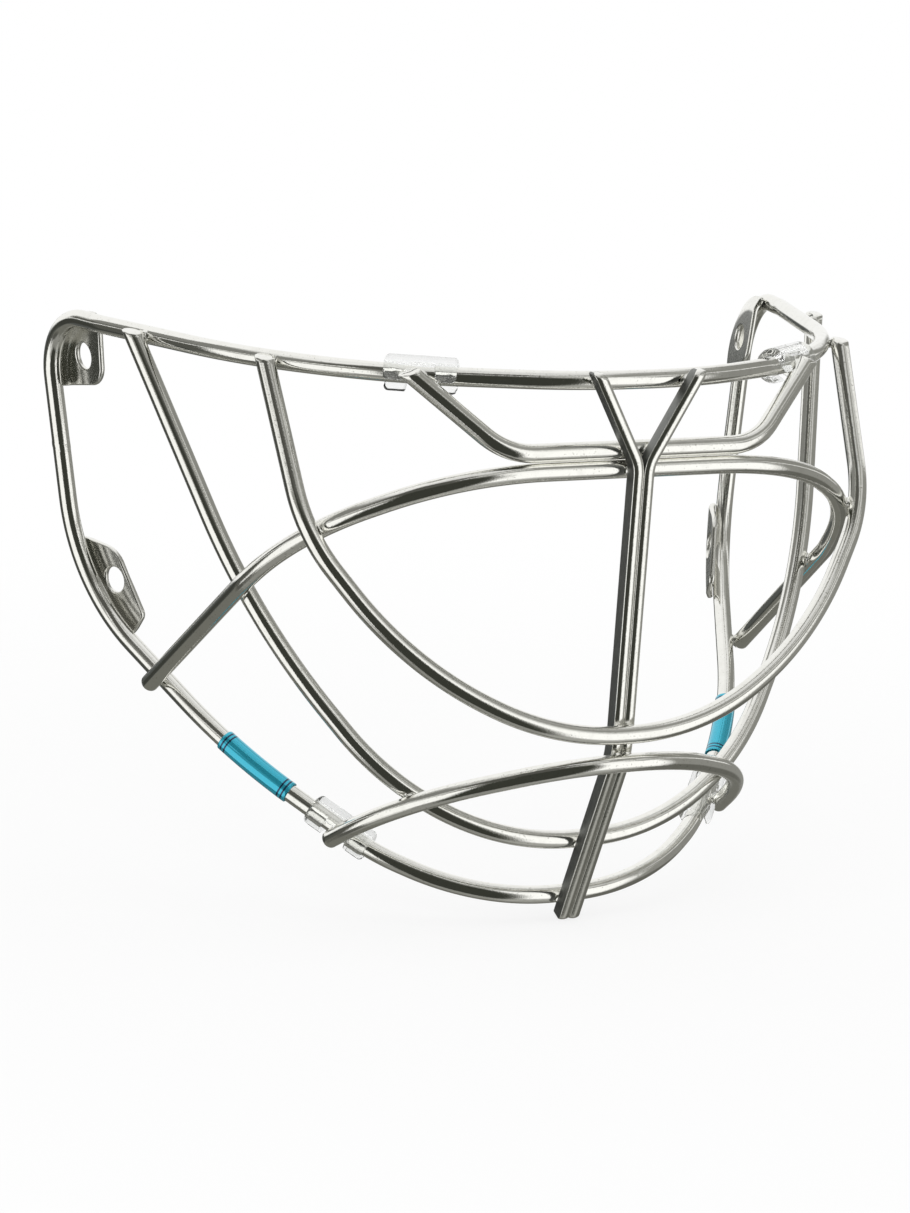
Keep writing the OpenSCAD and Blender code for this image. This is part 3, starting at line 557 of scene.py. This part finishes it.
# Mounting tabs: flat sheets with a hole, whose outer edge rolls over onto the bend of the frame.
sheet = {
    "sheet": 1.6, "edge": 0.5, "roll": 25.0, "rollBend": 4.0, "holeAcross": 7.2,
    "rings": 44, "edgeRings": 7, "around": 260, "borderSteps": 4000, "blend": 2.2, "farthest": 60.0,
}
upperTab = {
    **sheet, "corner": 5, "bend": 17.0, "stand": 1.5, "hole": (5.0, 7.0),
    "outline": [(-8.8, 40), (-2, -1.5), (40, -1.5), (40, 40)], "rounding": [0, 6.0, 0, 0],
}
lowerTab = {
    **sheet, "corner": 6, "bend": 52.0, "stand": 0.9, "holeAt": 30.0, "holeIn": 5.0,
    "start": 13.0, "runOn": 2.5, "frontCorner": 21.0, "reach": 10.5, "frontRounding": 8.0,
    "tip": 47.5, "tipReach": 6.5, "tipRounding": 2.5, "beyond": 30.0,
}


def polar(r, degrees):
    a = math.radians(degrees)
    return np.array([r * math.cos(a), r * math.sin(a), 0.0])


def bendAxes(k):
    # Centre of the frame's bend at its corner k, the axes from it to the bend's start and along
    # the run before it, and the axis square to both, which points into the guard.
    path = halfPath(perimeter)
    before, after = path["d"][k - 1], path["d"][k]
    inward = unit(after - (after * before).sum() * before)
    centre = path["p"][k] - path["cut"][k] * before + path["r"][k] * inward
    return centre, -inward, before, np.cross(-inward, before)


def tabShell(tab):
    # A sheet around its hole: from the rim straight out to the outline, over the rounded edge and
    # back below. Distance from the bend's centre runs along a line that is flat and then rolls
    # down. The outline is the nearer of border and lip: -log(exp(-k edge) + exp(-k lip)) / k.
    centre, ax, ay, az = bendAxes(tab["corner"])
    r, t, e, k = tab["bend"], tab["sheet"], tab["edge"], tab["blend"]
    roll = math.radians(tab["roll"])
    g = guard["wireRadius"] + guard["weldGap"]
    base = guard["wireRadius"] + tab["stand"]
    lip = r + g * math.sin(roll) - (base - g * math.cos(roll)) / math.tan(roll) + t / 2 * math.tan(roll / 2)
    end = (r + (g + t / 2) * math.sin(roll), (g + t / 2) * math.cos(roll))
    turns = [(0, base + t / 2, 0), (lip, base + t / 2, 0), (end[0], end[1], 0)]
    section = layPath(turns, [0, tab["rollBend"], 0])
    reach = section["starts"][-1]
    if "outline" in tab:
        corners, rounding = [(x, y, 0) for x, y in tab["outline"]], tab["rounding"]
        hole = np.array([*tab["hole"], 0.0])
    else:
        a = polar(r, tab["start"])
        b = polar(r - tab["reach"], tab["frontCorner"])
        tip = polar(r - tab["tipReach"], tab["tip"])
        corners = [a + tab["runOn"] * (a - b), b, tip, polar(r + tab["beyond"], tab["tip"])]
        rounding = [0, tab["frontRounding"], tab["tipRounding"], 0]
        hole = polar(r - tab["holeIn"], tab["holeAt"])
    border = layPath(corners, rounding)
    edge = pathAt(border, np.linspace(0, border["starts"][-1], tab["borderSteps"]))[0] - hole
    angle = np.arctan2(edge[:, 1], edge[:, 0])
    order = np.argsort(angle)
    f = np.linspace(-np.pi, np.pi, tab["around"], endpoint=False)
    toEdge = np.interp(f, angle[order], np.hypot(edge[order, 0], edge[order, 1]), period=2 * np.pi)
    toEdge = np.minimum(toEdge, tab["farthest"])
    way = np.stack([np.cos(f), np.sin(f)], -1)
    along = way @ hole[:2]
    toLip = -along + np.sqrt(along ** 2 + reach ** 2 - (hole ** 2).sum())
    far = -np.log(np.exp(-k * toEdge) + np.exp(-k * toLip)) / k
    rim = tab["holeAcross"] / 2
    b = np.linspace(0, np.pi, tab["edgeRings"])
    share, flat = np.linspace(0, 1, tab["rings"]), np.zeros(tab["rings"])
    mixTo = np.concatenate([share, np.ones(len(b)), share[::-1], np.zeros(len(b))])
    bulge = np.concatenate([flat, e * np.sin(b), flat, -e * np.sin(b)])
    lift = np.concatenate([flat + t / 2, t / 2 * np.cos(b), flat - t / 2, -t / 2 * np.cos(b)])
    out = (rim + e) + mixTo[None, :] * (far[:, None] - rim - 2 * e) + bulge[None, :]
    spots = hole[:2] + out[..., None] * way[:, None]
    size = spots.shape[:2]
    developed = np.linalg.norm(spots, axis=-1)
    where, along = (part.reshape(*size, 3) for part in pathAt(section, developed.ravel()))
    radial = where[..., 0] - along[..., 1] * lift
    height = where[..., 1] + along[..., 0] * lift
    xy = spots / developed[..., None] * radial[..., None]
    grid = centre + xy[..., :1] * ax + xy[..., 1:] * ay + height[..., None] * az
    return shell(grid, True)


for label, tab in (("upper", upperTab), ("lower", lowerTab)):
    makePair(label + "SideTab", tabShell(tab), tabMetal, label + "_side_tab")

# Film sleeves on the frame, in the bend at the jaw.
sleeve = {
    "pathCorner": 5, "start": 2.04, "length": 24.0, "gap": 0.1, "film": 0.4, "lipPoints": 5,
    "rings": [9.6, 10.8], "ringWidth": 0.5, "around": 48, "along": 40,
}


def sleeveShell():
    # A thin tube around the wire: along its outside, round the lip, back along its inside.
    half = halfPath(perimeter, -1)
    first = half["starts"][sleeve["pathCorner"]] + sleeve["start"]
    inner = guard["wireRadius"] + sleeve["gap"]
    outer = inner + sleeve["film"]
    q = np.linspace(0, np.pi, sleeve["lipPoints"])[1:-1]
    h = sleeve["film"] / 2
    n, end = sleeve["along"], sleeve["length"] - h
    s = np.concatenate([np.linspace(h, end, n), end + h * np.sin(q),
                        np.linspace(end, h, n), h - h * np.sin(q)])
    radius = np.concatenate([np.full(n, outer), inner + h + h * np.cos(q),
                             np.full(n, inner), inner + h - h * np.cos(q)])
    return shell(ringGrid(half, first + s, radius, sleeve["around"]), True, s, 2 * np.pi * outer)


makePair("sideSleeve", sleeveShell(), blueFilm(), "side_label_sleeve")

# Weld metal: fillets at the crossings, rings at the bars, and the joint of the frame wire.
weld = {
    "reach": 2.25, "neck": 0.5, "core": 0.4, "sink": 0.07, "around": 40, "across": 8,
    "wobble": 0.07, "fineWobble": 0.6, "endRoom": 0.15, "leastRoom": 0.1,
    "coarse": (400, 700), "spreads": (2.0, 0.1), "fine": 61,
}
barWeld = {
    "foot": (2.5, 2.0), "head": 2.1, "neck": (1.35, 1.0), "core": 0.8, "coreHeight": 0.5,
    "sink": 0.12, "headIn": 0.06, "square": 0.35, "climbPower": 1.6, "steps": 3000,
}
joint = {
    "at": (-108.8, 133.7, -38.1), "half": 1.5, "rings": 15, "around": 36, "steps": 4000,
    "sink": 0.06, "rise": 0.13, "uneven": 0.05, "edgeWander": 0.35, "wander": (0.5, 0.12),
}


def nearest(pathA, pathB):
    # The closest pair of points of two wires: all pairs about 1 mm apart, then again finely
    # around the best.
    (coarseA, coarseB), fine = weld["coarse"], weld["fine"]
    endA, endB = pathA["starts"][-1], pathB["starts"][-1]
    sa, sb = np.linspace(0, endA, coarseA), np.linspace(0, endB, coarseB)
    for spread in weld["spreads"]:
        pa, pb = pathAt(pathA, sa)[0], pathAt(pathB, sb)[0]
        gap = np.linalg.norm(pa[:, None] - pb[None], axis=-1)
        i, j = np.unravel_index(gap.argmin(), gap.shape)
        sa = np.clip(sa[i] + np.linspace(-spread, spread, fine), 0, endA)
        sb = np.clip(sb[j] + np.linspace(-spread, spread, fine), 0, endB)
    return sa[fine // 2], sb[fine // 2]


def wobbly(f, seed, waves, shift):  # 1 + three waves and some finer ones around
    fine = weld["fineWobble"] * np.sin(waves * f + shift * seed)
    return 1 + weld["wobble"] * (np.sin(3 * f + seed) + fine)


def weldRing(foot, neck, head, core):
    # Rings from the foot to the head along the curve (1 - w)^2 foot + 2 w (1 - w) neck + w^2 head,
    # and back through the core.
    w = np.linspace(0, 1, weld["across"])[:, None, None]
    outer = (1 - w) ** 2 * foot + 2 * w * (1 - w) * neck + w ** 2 * head
    return np.concatenate([outer, core]).transpose(1, 0, 2)


def filletShell(where, n, ta, tb, roomB, seed):
    # A ring of weld metal between two crossed wires: its foot lies on the lower wire, its head on
    # the upper one, and between them it is pulled in. On a wire a point lies off the contact by
    # -half + sqrt(r^2 - distance from the wire's middle line^2).
    r, core = guard["wireRadius"], weld["core"]
    f = fullTurn(weld["around"])
    wobble = wobbly(f, seed, 5, 2.1)
    side = unit(np.cross(n, ta))
    flat = np.cos(f)[:, None] * ta + np.sin(f)[:, None] * side
    half = r + guard["weldGap"] / 2

    def onWire(q, t, sign):
        away = np.linalg.norm(q - dot(q, t) * t, axis=-1, keepdims=True)
        fall = -half + np.sqrt(np.maximum(r * r - np.minimum(away, r) ** 2, 0)) - weld["sink"]
        return q + sign * fall * n

    q = weld["reach"] * wobble[:, None] * flat
    along = dot(q, tb)
    q = q + (np.clip(along, -roomB[0], roomB[1]) - along) * tb  # not past the upper wire's end
    inner = np.stack([onWire(core * q, tb, -1) + core * n, onWire(core * q, ta, 1) - core * n])
    ring = weldRing(onWire(q, ta, 1), weld["neck"] * q, onWire(q, tb, -1), inner)
    return shell(where + ring, True)


def wireWelds():
    pairs = [(perimeter, brow), (perimeter, outerU), (perimeter, innerU), (perimeter, crossWire),
             (perimeter, chin), (outerU, crossWire), (crossWire, innerU), (outerU, chin)]
    shells = []
    for number, pair in enumerate(pairs):
        a, b = map(halfPath, pair)
        sa, sb = nearest(a, b)
        (pa,), (ta,) = pathAt(a, np.array([sa]))
        (pb,), (tb,) = pathAt(b, np.array([sb]))
        room = (sb, max(b["starts"][-1] - sb - weld["endRoom"], weld["leastRoom"]))
        ring = filletShell((pa + pb) / 2, unit(pb - pa), ta, tb, room, 1.7 * number)
        shells += [ring, otherSide(ring)]
    return shells


def barWelds():
    # Rings where a bar stands on a wire: the foot lies on the wire, and the head climbs the bar's
    # sides and is squarer. Points lie at cos f across the bar and sin f along it.
    def spread(axes, *parts):
        return sum(part[:, None] * axis for part, axis in zip(parts, axes))

    side = barSide()
    shells = []
    crossings = [wire["corners"][0] for wire in (perimeter, brow, crossWire, outerU, innerU, chin)]
    crossings.insert(4, perimeter["corners"][-1])
    f = fullTurn(weld["around"])
    c, q = np.cos(f), np.sin(f)
    r, size = guard["wireRadius"], barWeld
    line, way = pathAt(side, np.linspace(0, side["starts"][-1], size["steps"]))
    for number, (_, y, z) in enumerate(crossings):
        k = np.hypot(line[:, 1] - y, line[:, 2] - z).argmin()
        n = unit(line[k] - np.array([0, y, z]))
        where = np.array([0, y, z]) + n * (r + guard["weldGap"] / 2)
        x = float(barAcross(np.array([where[2]]), 0.0)[0])
        slant = (barAcross(np.array([z + 1.0]), 0.0) - barAcross(np.array([z - 1.0]), 0.0))[0] / 2
        axes = (np.array([1.0, 0, 0]), unit(-way[k] + np.array([slant, 0, 0])), n)
        wobble = wobbly(f, number, 4, 2)
        v = size["foot"][1] * q * wobble
        foot = spread(axes, size["foot"][0] * c * wobble, v, -size["sink"] - r + np.sqrt(r * r - v ** 2))
        square = (yBar["width"] / 2 - size["headIn"]) * np.sign(c) * np.abs(c) ** size["square"]
        climb = size["sink"] + np.abs(c) ** size["climbPower"] * wobble
        head = spread(axes, square, size["head"] * q * wobble, climb)
        neck = spread(axes, size["neck"][0] * c, size["neck"][1] * q)
        core = spread(axes, size["core"] * c, size["core"] * q)
        core = np.stack([core + size["coreHeight"] * n, core - size["coreHeight"] * n])
        ring = shell(where + np.array([x, 0, 0]) + weldRing(foot, neck, head, core), True)
        shells += [ring, otherSide(ring)]
    return shells


def frameJoint():
    # The butt weld that closes the frame wire on its left side: a low bead whose height and place
    # along the wire wander by sines of the angle around.
    path = wholePath(perimeter)
    places = np.linspace(0, path["starts"][-1], joint["steps"])
    at = places[np.linalg.norm(pathAt(path, places)[0] - np.array(joint["at"]), axis=1).argmin()]
    t = np.linspace(-1, 1, joint["rings"])[:, None]
    f = fullTurn(joint["around"])[None]
    slant = joint["wander"][0] * np.sin(f + 0.8) + joint["wander"][1] * np.sin(4 * f)
    low = np.maximum(1 - (t - joint["edgeWander"] * np.sin(2 * f + 1)) ** 2, 0)
    bead = guard["wireRadius"] - joint["sink"] + (joint["rise"] + joint["uneven"] * np.sin(3 * f + 2)) * low
    s = at + joint["half"] * t[:, 0]
    grid = ringGrid(path, s, bead, joint["around"])
    return shell(grid + slant[..., None] * pathAt(path, s)[1][:, None])


makePiece("wireWelds", wireWelds() + [frameJoint()], wireMetal, sharp=60)
makePiece("barWelds", barWelds(), wireMetal, sharp=60)

# Clear clips that snap over the frame at the ends of the brow wire and the chin wire.
clip = {
    "length": 19.0, "clearance": 0.3, "wall": 1.8, "crown": 0.3, "slot": 4.0, "slotAt": 35.0,
    "notch": 8.0, "notchTop": 3.1, "notchUnder": 2.5, "notchLimit": 0.93, "cornerSoft": 0.5,
    "endRound": 1.25, "endDraw": 0.9, "edgeRound": 0.6, "boreRound": 0.25, "mouthRound": 0.3,
    "mouthDepth": 0.8, "wireAir": 0.12, "wireReach": 14.0, "wireSteps": 160,
    "around": 61, "endRings": 9, "bodyRings": 8, "notchRings": 6, "upperAt": 58.0, "lowerAt": 66.5,
}


def clipShell(path, at, wire, wireAt):
    # A thick C on the frame: outside it runs at R + crown (1 + sin f) / 2 and inside at the bore,
    # from the mouth's front edge over the top and back to its lower edge, with f the angle from
    # the front upwards. Both edges draw back for the crossing wire. Ends and edges are rounded.
    half = clip["length"] / 2
    (first, last, middle), _ = pathAt(path, np.array([at - half, at + half, at]))
    centre = (first + last + 2 * middle) / 4
    x = unit(last - first)
    (target,), _ = pathAt(wire, np.array([wireAt]))
    n = unit((target - centre) - dot(target - centre, x) * x)
    up = np.cross(x, n) * np.sign(np.cross(x, n)[2])
    bore = guard["wireRadius"] + clip["clearance"]
    outer, end = bore + clip["wall"], clip["endRound"]
    edges = half - end * (1 - np.cos(np.linspace(0, np.pi / 2, clip["endRings"])))
    soft, side = clip["cornerSoft"], clip["notch"] / 2
    ramp = np.linspace(side + soft / 2, side - soft / 2, clip["endRings"])
    station = np.concatenate([edges, np.linspace(edges[-1], ramp[0], clip["bodyRings"])[1:-1], ramp,
                              np.linspace(ramp[-1], 0, clip["notchRings"])[1:]])
    station = np.concatenate([-station, station[::-1][1:]])[:, None]
    inNotch = np.clip((side + soft / 2 - np.abs(station)) / soft, 0, 1)
    inNotch = inNotch ** 2 * (3 - 2 * inNotch)
    fromEnd = half - np.abs(station)
    cut = roundOff(fromEnd, end)

    def arc(radius, v):  # the angle at the share v between the two edges, and the way to the nearer edge
        mouth = np.arcsin(clip["slot"] / 2 / radius)
        low = np.radians(-clip["slotAt"]) + mouth
        high = np.radians(360 - clip["slotAt"]) - mouth
        lowCut = np.arcsin(min(clip["notchTop"] / radius, clip["notchLimit"]))
        highCut = np.pi + np.arcsin(min(clip["notchUnder"] / radius, 1.0))
        drawn = cut * clip["endDraw"] / radius
        low = low + inNotch * (lowCut - low) + drawn
        high = high + inNotch * (highCut - high) - drawn
        return low + v * (high - low), np.minimum(v, 1 - v) * (high - low) * radius

    v = (1 - np.cos(np.linspace(0, np.pi, clip["around"])))[None] / 2
    fOut, dOut = arc(outer, v)
    fIn, dIn = arc(bore, v[:, ::-1])
    rOut = outer + clip["crown"] * (1 + np.sin(fOut)) / 2 - cut \
        - (1 - cut / end) * roundOff(dOut, clip["edgeRound"])
    rIn = bore + roundOff(fromEnd, clip["boreRound"]) \
        + clip["mouthDepth"] * roundOff(dIn, clip["mouthRound"])
    f, r = np.hstack([fOut, fIn])[..., None], np.hstack([rOut, rIn])[..., None]
    grid = centre + station[..., None] * x + r * np.cos(f) * n + r * np.sin(f) * up
    # where the crossing wire passes too close, the plastic is pressed outwards from it
    near = np.linspace(max(wireAt - clip["wireReach"], 0), wire["starts"][-1], clip["wireSteps"])
    line, way = pathAt(wire, near)
    near = np.linalg.norm(grid[..., None, :] - line, axis=-1).argmin(-1)
    away = grid - line[near]
    away = away - dot(away, way[near]) * way[near]
    gap = np.linalg.norm(away, axis=-1, keepdims=True)
    grid = grid + away / gap * np.maximum(guard["wireRadius"] + clip["wireAir"] - gap, 0)
    return shell(grid, pairedEnds=True)


plastic = clearPlastic()
for label, step, at, wire in (("upper", 1, clip["upperAt"], brow), ("lower", -1, clip["lowerAt"], chin)):
    path, crossing = halfPath(perimeter, step), halfPath(wire)
    right = clipShell(path, at, crossing, nearest(path, crossing)[1])
    makePair(label + "SideClip", right, plastic, label + "_side_clip", sharp=50)

# Floor, light and camera. The light tent is what the metal mirrors: bright soft boxes on the left
# and at the front right, a white sheet behind, a pale ceiling, and dark cloth in front and at the
# left rear. Angles are degrees round from the guard's front towards its right, and up; each panel
# is laid over those before it.
studio = {
    "floorZ": -0.0792, "floorHalf": 12.0, "floorFade": (0.16, 0.5), "floorColour": (0.9, 0.9, 0.9, 1),
    "floorWhite": 0.8, "ambient": 0.9,
    "lamps": [  # place, size, strength in watts
        ((-0.9, -0.9, 1.1), 0.9, 3.0),
        ((1.0, -0.5, 0.9), 0.7, 2.0),
    ],
    "tentRadius": 6.0, "tentAround": 72, "tentRows": 36, "tentTop": 89.5,
    "tentGround": (0.26, 0.26, 0.24), "stripSoft": 1.5,
    "tentPanels": [  # from, to, low, high, soft edge, colour
        (58, 130, -60, -26, 4, (0.13, 0.13, 0.115)),  # low right
        (-140, -110, -62, 20, 4, (0.085, 0.086, 0.075)),  # dark rear left
        (-118, -98, -62, -30, 4, (0.09, 0.09, 0.08)),  # dark, low left
        (-140, -76, 18, 56, 5, (0.22, 0.22, 0.205)),  # over the left box
        (-78, -2, 26, 61, 3, (0.09, 0.09, 0.08)),  # dark, over the front
        (-2, 62, 36, 61, 3, (0.29, 0.29, 0.27)),  # over the front box
        (62, 104, 44, 62, 4, (0.36, 0.36, 0.34)),  # high right
        (-300, 300, 63, 120, 3, (0.72, 0.72, 0.71)),  # ceiling
        (102, 285, 50, 90, 7, (0.88, 0.88, 0.87)),  # rear ceiling
        (130, 240, -80, -30, 4, (0.16, 0.16, 0.14)),  # low rear
        (140, 214, -32, -13, 2, (0.34, 0.34, 0.32)),  # sheet's foot
        (124, 150, 8, 60, 3, (0.85, 0.85, 0.84)),  # sheet's edge
        (138, 219, -14, 66, 2.5, (0.96, 0.96, 0.95)),  # white sheet
        (163, 232, -36, -2, 2.5, (0.085, 0.09, 0.085)),  # dark base
        (212, 230, -34, -5, 2.5, (0.045, 0.047, 0.04)),  # its end
        (-53, 9, -62, 31, 3, (0.040, 0.042, 0.034)),  # dark front
        (-98, -70, -48, -32, 3, (0.66, 0.66, 0.64)),  # under the left box
        (14, 56, -78, -47, 4, (0.37, 0.37, 0.345)),  # table
        (-111, -54, -36, 9, 3, (1.02, 1.02, 1.0)),  # left box
        (14, 50, -46, -34, 3, (0.62, 0.62, 0.60)),  # under the front box
        (47, 57, -42, 10, 3, (0.80, 0.80, 0.78)),  # its side
        (12, 34, 16, 38, 2.5, (0.98, 0.98, 0.96)),  # its top
        (14, 51, -36, 21, 3, (1.08, 1.08, 1.06)),  # front box
        (36, 52, 30, 42, 3, (0.62, 0.62, 0.60)),  # small cloth
    ],
    "tentStrips": [  # thin slanted seams: from, to, height at both, half width, brightness
        (57, 117, 33, -1, 2.2, 0.95),
        (-146, -94, -2, 20, 2.0, 0.95),
        (-98, -62, 6, 28, 2.4, 0.98),
        (-18, 10, 45, 46, 2.0, 0.75),
        (10, 36, 46, 55, 2.0, 0.85),
        (44, 62, 27, 15, 1.8, 0.70),
        (-4, 22, 62, 55, 1.8, 0.85),
    ],
}


def tentLight(tree):
    # Brightness of the tent by direction: each panel's colour is mixed in where the angle round,
    # which also counts a turn on, and the angle up are both inside it. A strip's height follows
    # a slanted line.
    def within(angle, a, b, soft):
        over = mathNode(tree, "SUBTRACT", 1.0, rampNode(tree, angle, b - soft, b + soft))
        return times(tree, rampNode(tree, angle, a - soft, a + soft), over)

    way = addNode(tree, "VectorMath", operation="NORMALIZE", Vector=objectPlace(tree))
    parts = addNode(tree, "SeparateXYZ", Vector=way.outputs["Vector"])
    degree = 180 / math.pi
    front = times(tree, parts.outputs["Y"], -1.0)
    turn = times(tree, mathNode(tree, "ARCTAN2", parts.outputs["X"], front), degree)
    up = times(tree, mathNode(tree, "ARCSINE", parts.outputs["Z"]), degree)
    turnOn = mathNode(tree, "ADD", turn, 360.0)
    colour = (*studio["tentGround"], 1)
    panels = [(*panel[:2], 0.0, *panel[2:]) for panel in studio["tentPanels"]]
    for first, last, low, high, half, level in studio["tentStrips"]:
        slope = (high - low) / (last - first)
        offset = low - slope * first
        panels.append((first, last, slope, offset - half, offset + half, studio["stripSoft"],
                       (level, level, 0.98 * level)))
    for first, last, slope, low, high, soft, level in panels:
        inside = within(turn, first, last, soft)
        if last > 180:
            inside = mathNode(tree, "MAXIMUM", inside, within(turnOn, first, last, soft))
        height = mathNode(tree, "SUBTRACT", up, times(tree, turn, slope)) if slope else up
        inside = times(tree, inside, within(height, low, high, soft))
        colour = mixColour(tree, inside, colour, (*level, 1))
    return colour


def makeTent():
    # A ball around everything: radius x (cos up sin round, -cos up cos round, sin up).
    rows, around, top = studio["tentRows"], studio["tentAround"], studio["tentTop"]
    a = np.radians(np.linspace(-180, 180, around, endpoint=False))[None]
    b = np.radians(np.linspace(-top, top, rows))[:, None]
    points = np.stack([np.cos(b) * np.sin(a), -np.cos(b) * np.cos(a), np.sin(b) + 0 * a], -1)
    points = points.reshape(-1, 3) * studio["tentRadius"]
    index = np.arange(rows * around).reshape(rows, around)
    loop = np.hstack([index, index[:, :1]])
    quads = np.stack([loop[:-1, :-1], loop[1:, :-1], loop[1:, 1:], loop[:-1, 1:]], -1).reshape(-1, 4)
    mesh = bpy.data.meshes.new("lightTent")
    mesh.from_pydata(points.tolist(), [], quads.tolist() + [index[0].tolist(), index[-1, ::-1].tolist()])
    mesh.shade_smooth()
    material = bpy.data.materials.new("tentCloth")
    tree = emptyTree(material)
    # a look straight through the clear plastic finds the white backdrop, one that was mirrored on
    # the way finds the tent
    rays = addNode(tree, "LightPath")
    straight = mathNode(tree, "LESS_THAN", rays.outputs["Glossy Depth"], 0.5)
    glow = addNode(tree, "Emission", Color=mixColour(tree, straight, tentLight(tree), (1, 1, 1, 1)))
    addNode(tree, "OutputMaterial", Surface=glow.outputs["Emission"])
    mesh.materials.append(material)
    tent = addObject("lightTent", mesh)
    tent.visible_camera = tent.visible_diffuse = False
    tent.visible_shadow = tent.visible_volume_scatter = False


def makeBackdrop():
    # The world is plain white to the camera, to mirrors and to clear plastic, and lights a little
    # less than it shows.
    world = bpy.data.worlds.new("studio")
    bpy.context.scene.world = world
    tree = emptyTree(world)
    rays = addNode(tree, "LightPath").outputs
    seen = mathNode(tree, "MAXIMUM", rays["Is Glossy Ray"], rays["Is Transmission Ray"])
    seen = mathNode(tree, "MAXIMUM", rays["Is Camera Ray"], seen)
    level = addNode(tree, "MapRange", Value=seen, To_Min=studio["ambient"], To_Max=1.0)
    sky = addNode(tree, "Background", Color=(1, 1, 1, 1), Strength=level.outputs["Result"])
    addNode(tree, "OutputWorld", Surface=sky.outputs["Background"])


def makeFloor():
    mesh = bpy.data.meshes.new("floor")
    h, z = studio["floorHalf"], studio["floorZ"]
    mesh.from_pydata([(-h, -h, z), (h, -h, z), (h, h, z), (-h, h, z)], [], [(0, 1, 2, 3)])
    floor = addObject("floor", mesh)
    floor.visible_glossy = False
    # paper near the guard, which fades into the white backdrop
    material, tree, shader = newMaterial("floorPaper")
    setInputs(shader, {"Base Color": studio["floorColour"], "Roughness": 0.9, "Specular IOR Level": 0.0})
    length = addNode(tree, "VectorMath", operation="LENGTH", Vector=objectPlace(tree)).outputs["Value"]
    rays = addNode(tree, "LightPath").outputs
    # a look that was mirrored before it passed the clear plastic goes through the floor to the tent
    mirrored = mathNode(tree, "GREATER_THAN", rays["Glossy Depth"], 0.5)
    fade = mathNode(tree, "MAXIMUM", rampNode(tree, length, *studio["floorFade"]), mirrored)
    # to the camera the paper is mostly plain white, and its shadow stays as a soft tone
    glow = addNode(tree, "Emission", Color=(1, 1, 1, 1), Strength=1.0)
    white = times(tree, rays["Is Camera Ray"], studio["floorWhite"])
    clear = addNode(tree, "BsdfTransparent")
    below = shader.outputs["BSDF"]
    for share, above in ((white, glow.outputs["Emission"]), (fade, clear.outputs["BSDF"])):
        blend = addNode(tree, "MixShader", Fac=share)
        feed(blend.inputs[1], below)
        feed(blend.inputs[2], above)
        below = blend.outputs["Shader"]
    output = next(n for n in tree.nodes if n.type == "OUTPUT_MATERIAL")
    feed(output.inputs["Surface"], below)
    mesh.materials.append(material)


def makeLamps():
    for number, (place, size, power) in enumerate(studio["lamps"]):
        light = bpy.data.lights.new("lamp%d" % number, "AREA")
        light.shape = "SQUARE"
        light.size = size
        light.energy = power
        lamp = addObject("lamp%d" % number, light)
        z = unit(np.array(place))
        x = unit(np.cross([0, 0, 1.0], z))
        placeAt(lamp, x, np.cross(z, x), z, place)
        lamp.visible_camera = lamp.visible_glossy = False


view = {
    "place": (-0.46898, -0.88688, 0.22902), "lens": 146.36, "sensor": 36.0, "clip": (0.01, 60.0),
    "right": (0.8953, -0.4427, 0.0492), "up": (0.0565, 0.2226, 0.9733), "back": (-0.4418, -0.8686, 0.2243),
}


def makeCamera():
    data = bpy.data.cameras.new("camera")
    camera = addObject("camera", data)
    data.sensor_fit = "HORIZONTAL"
    data.sensor_width = view["sensor"]
    data.lens = view["lens"]
    data.clip_start, data.clip_end = view["clip"]
    placeAt(camera, view["right"], view["up"], view["back"], view["place"])
    bpy.context.scene.camera = camera


makeBackdrop()
makeFloor()
makeLamps()
makeTent()
makeCamera()
bpy.context.scene.view_settings.view_transform = "Standard"
print("studio and camera set")
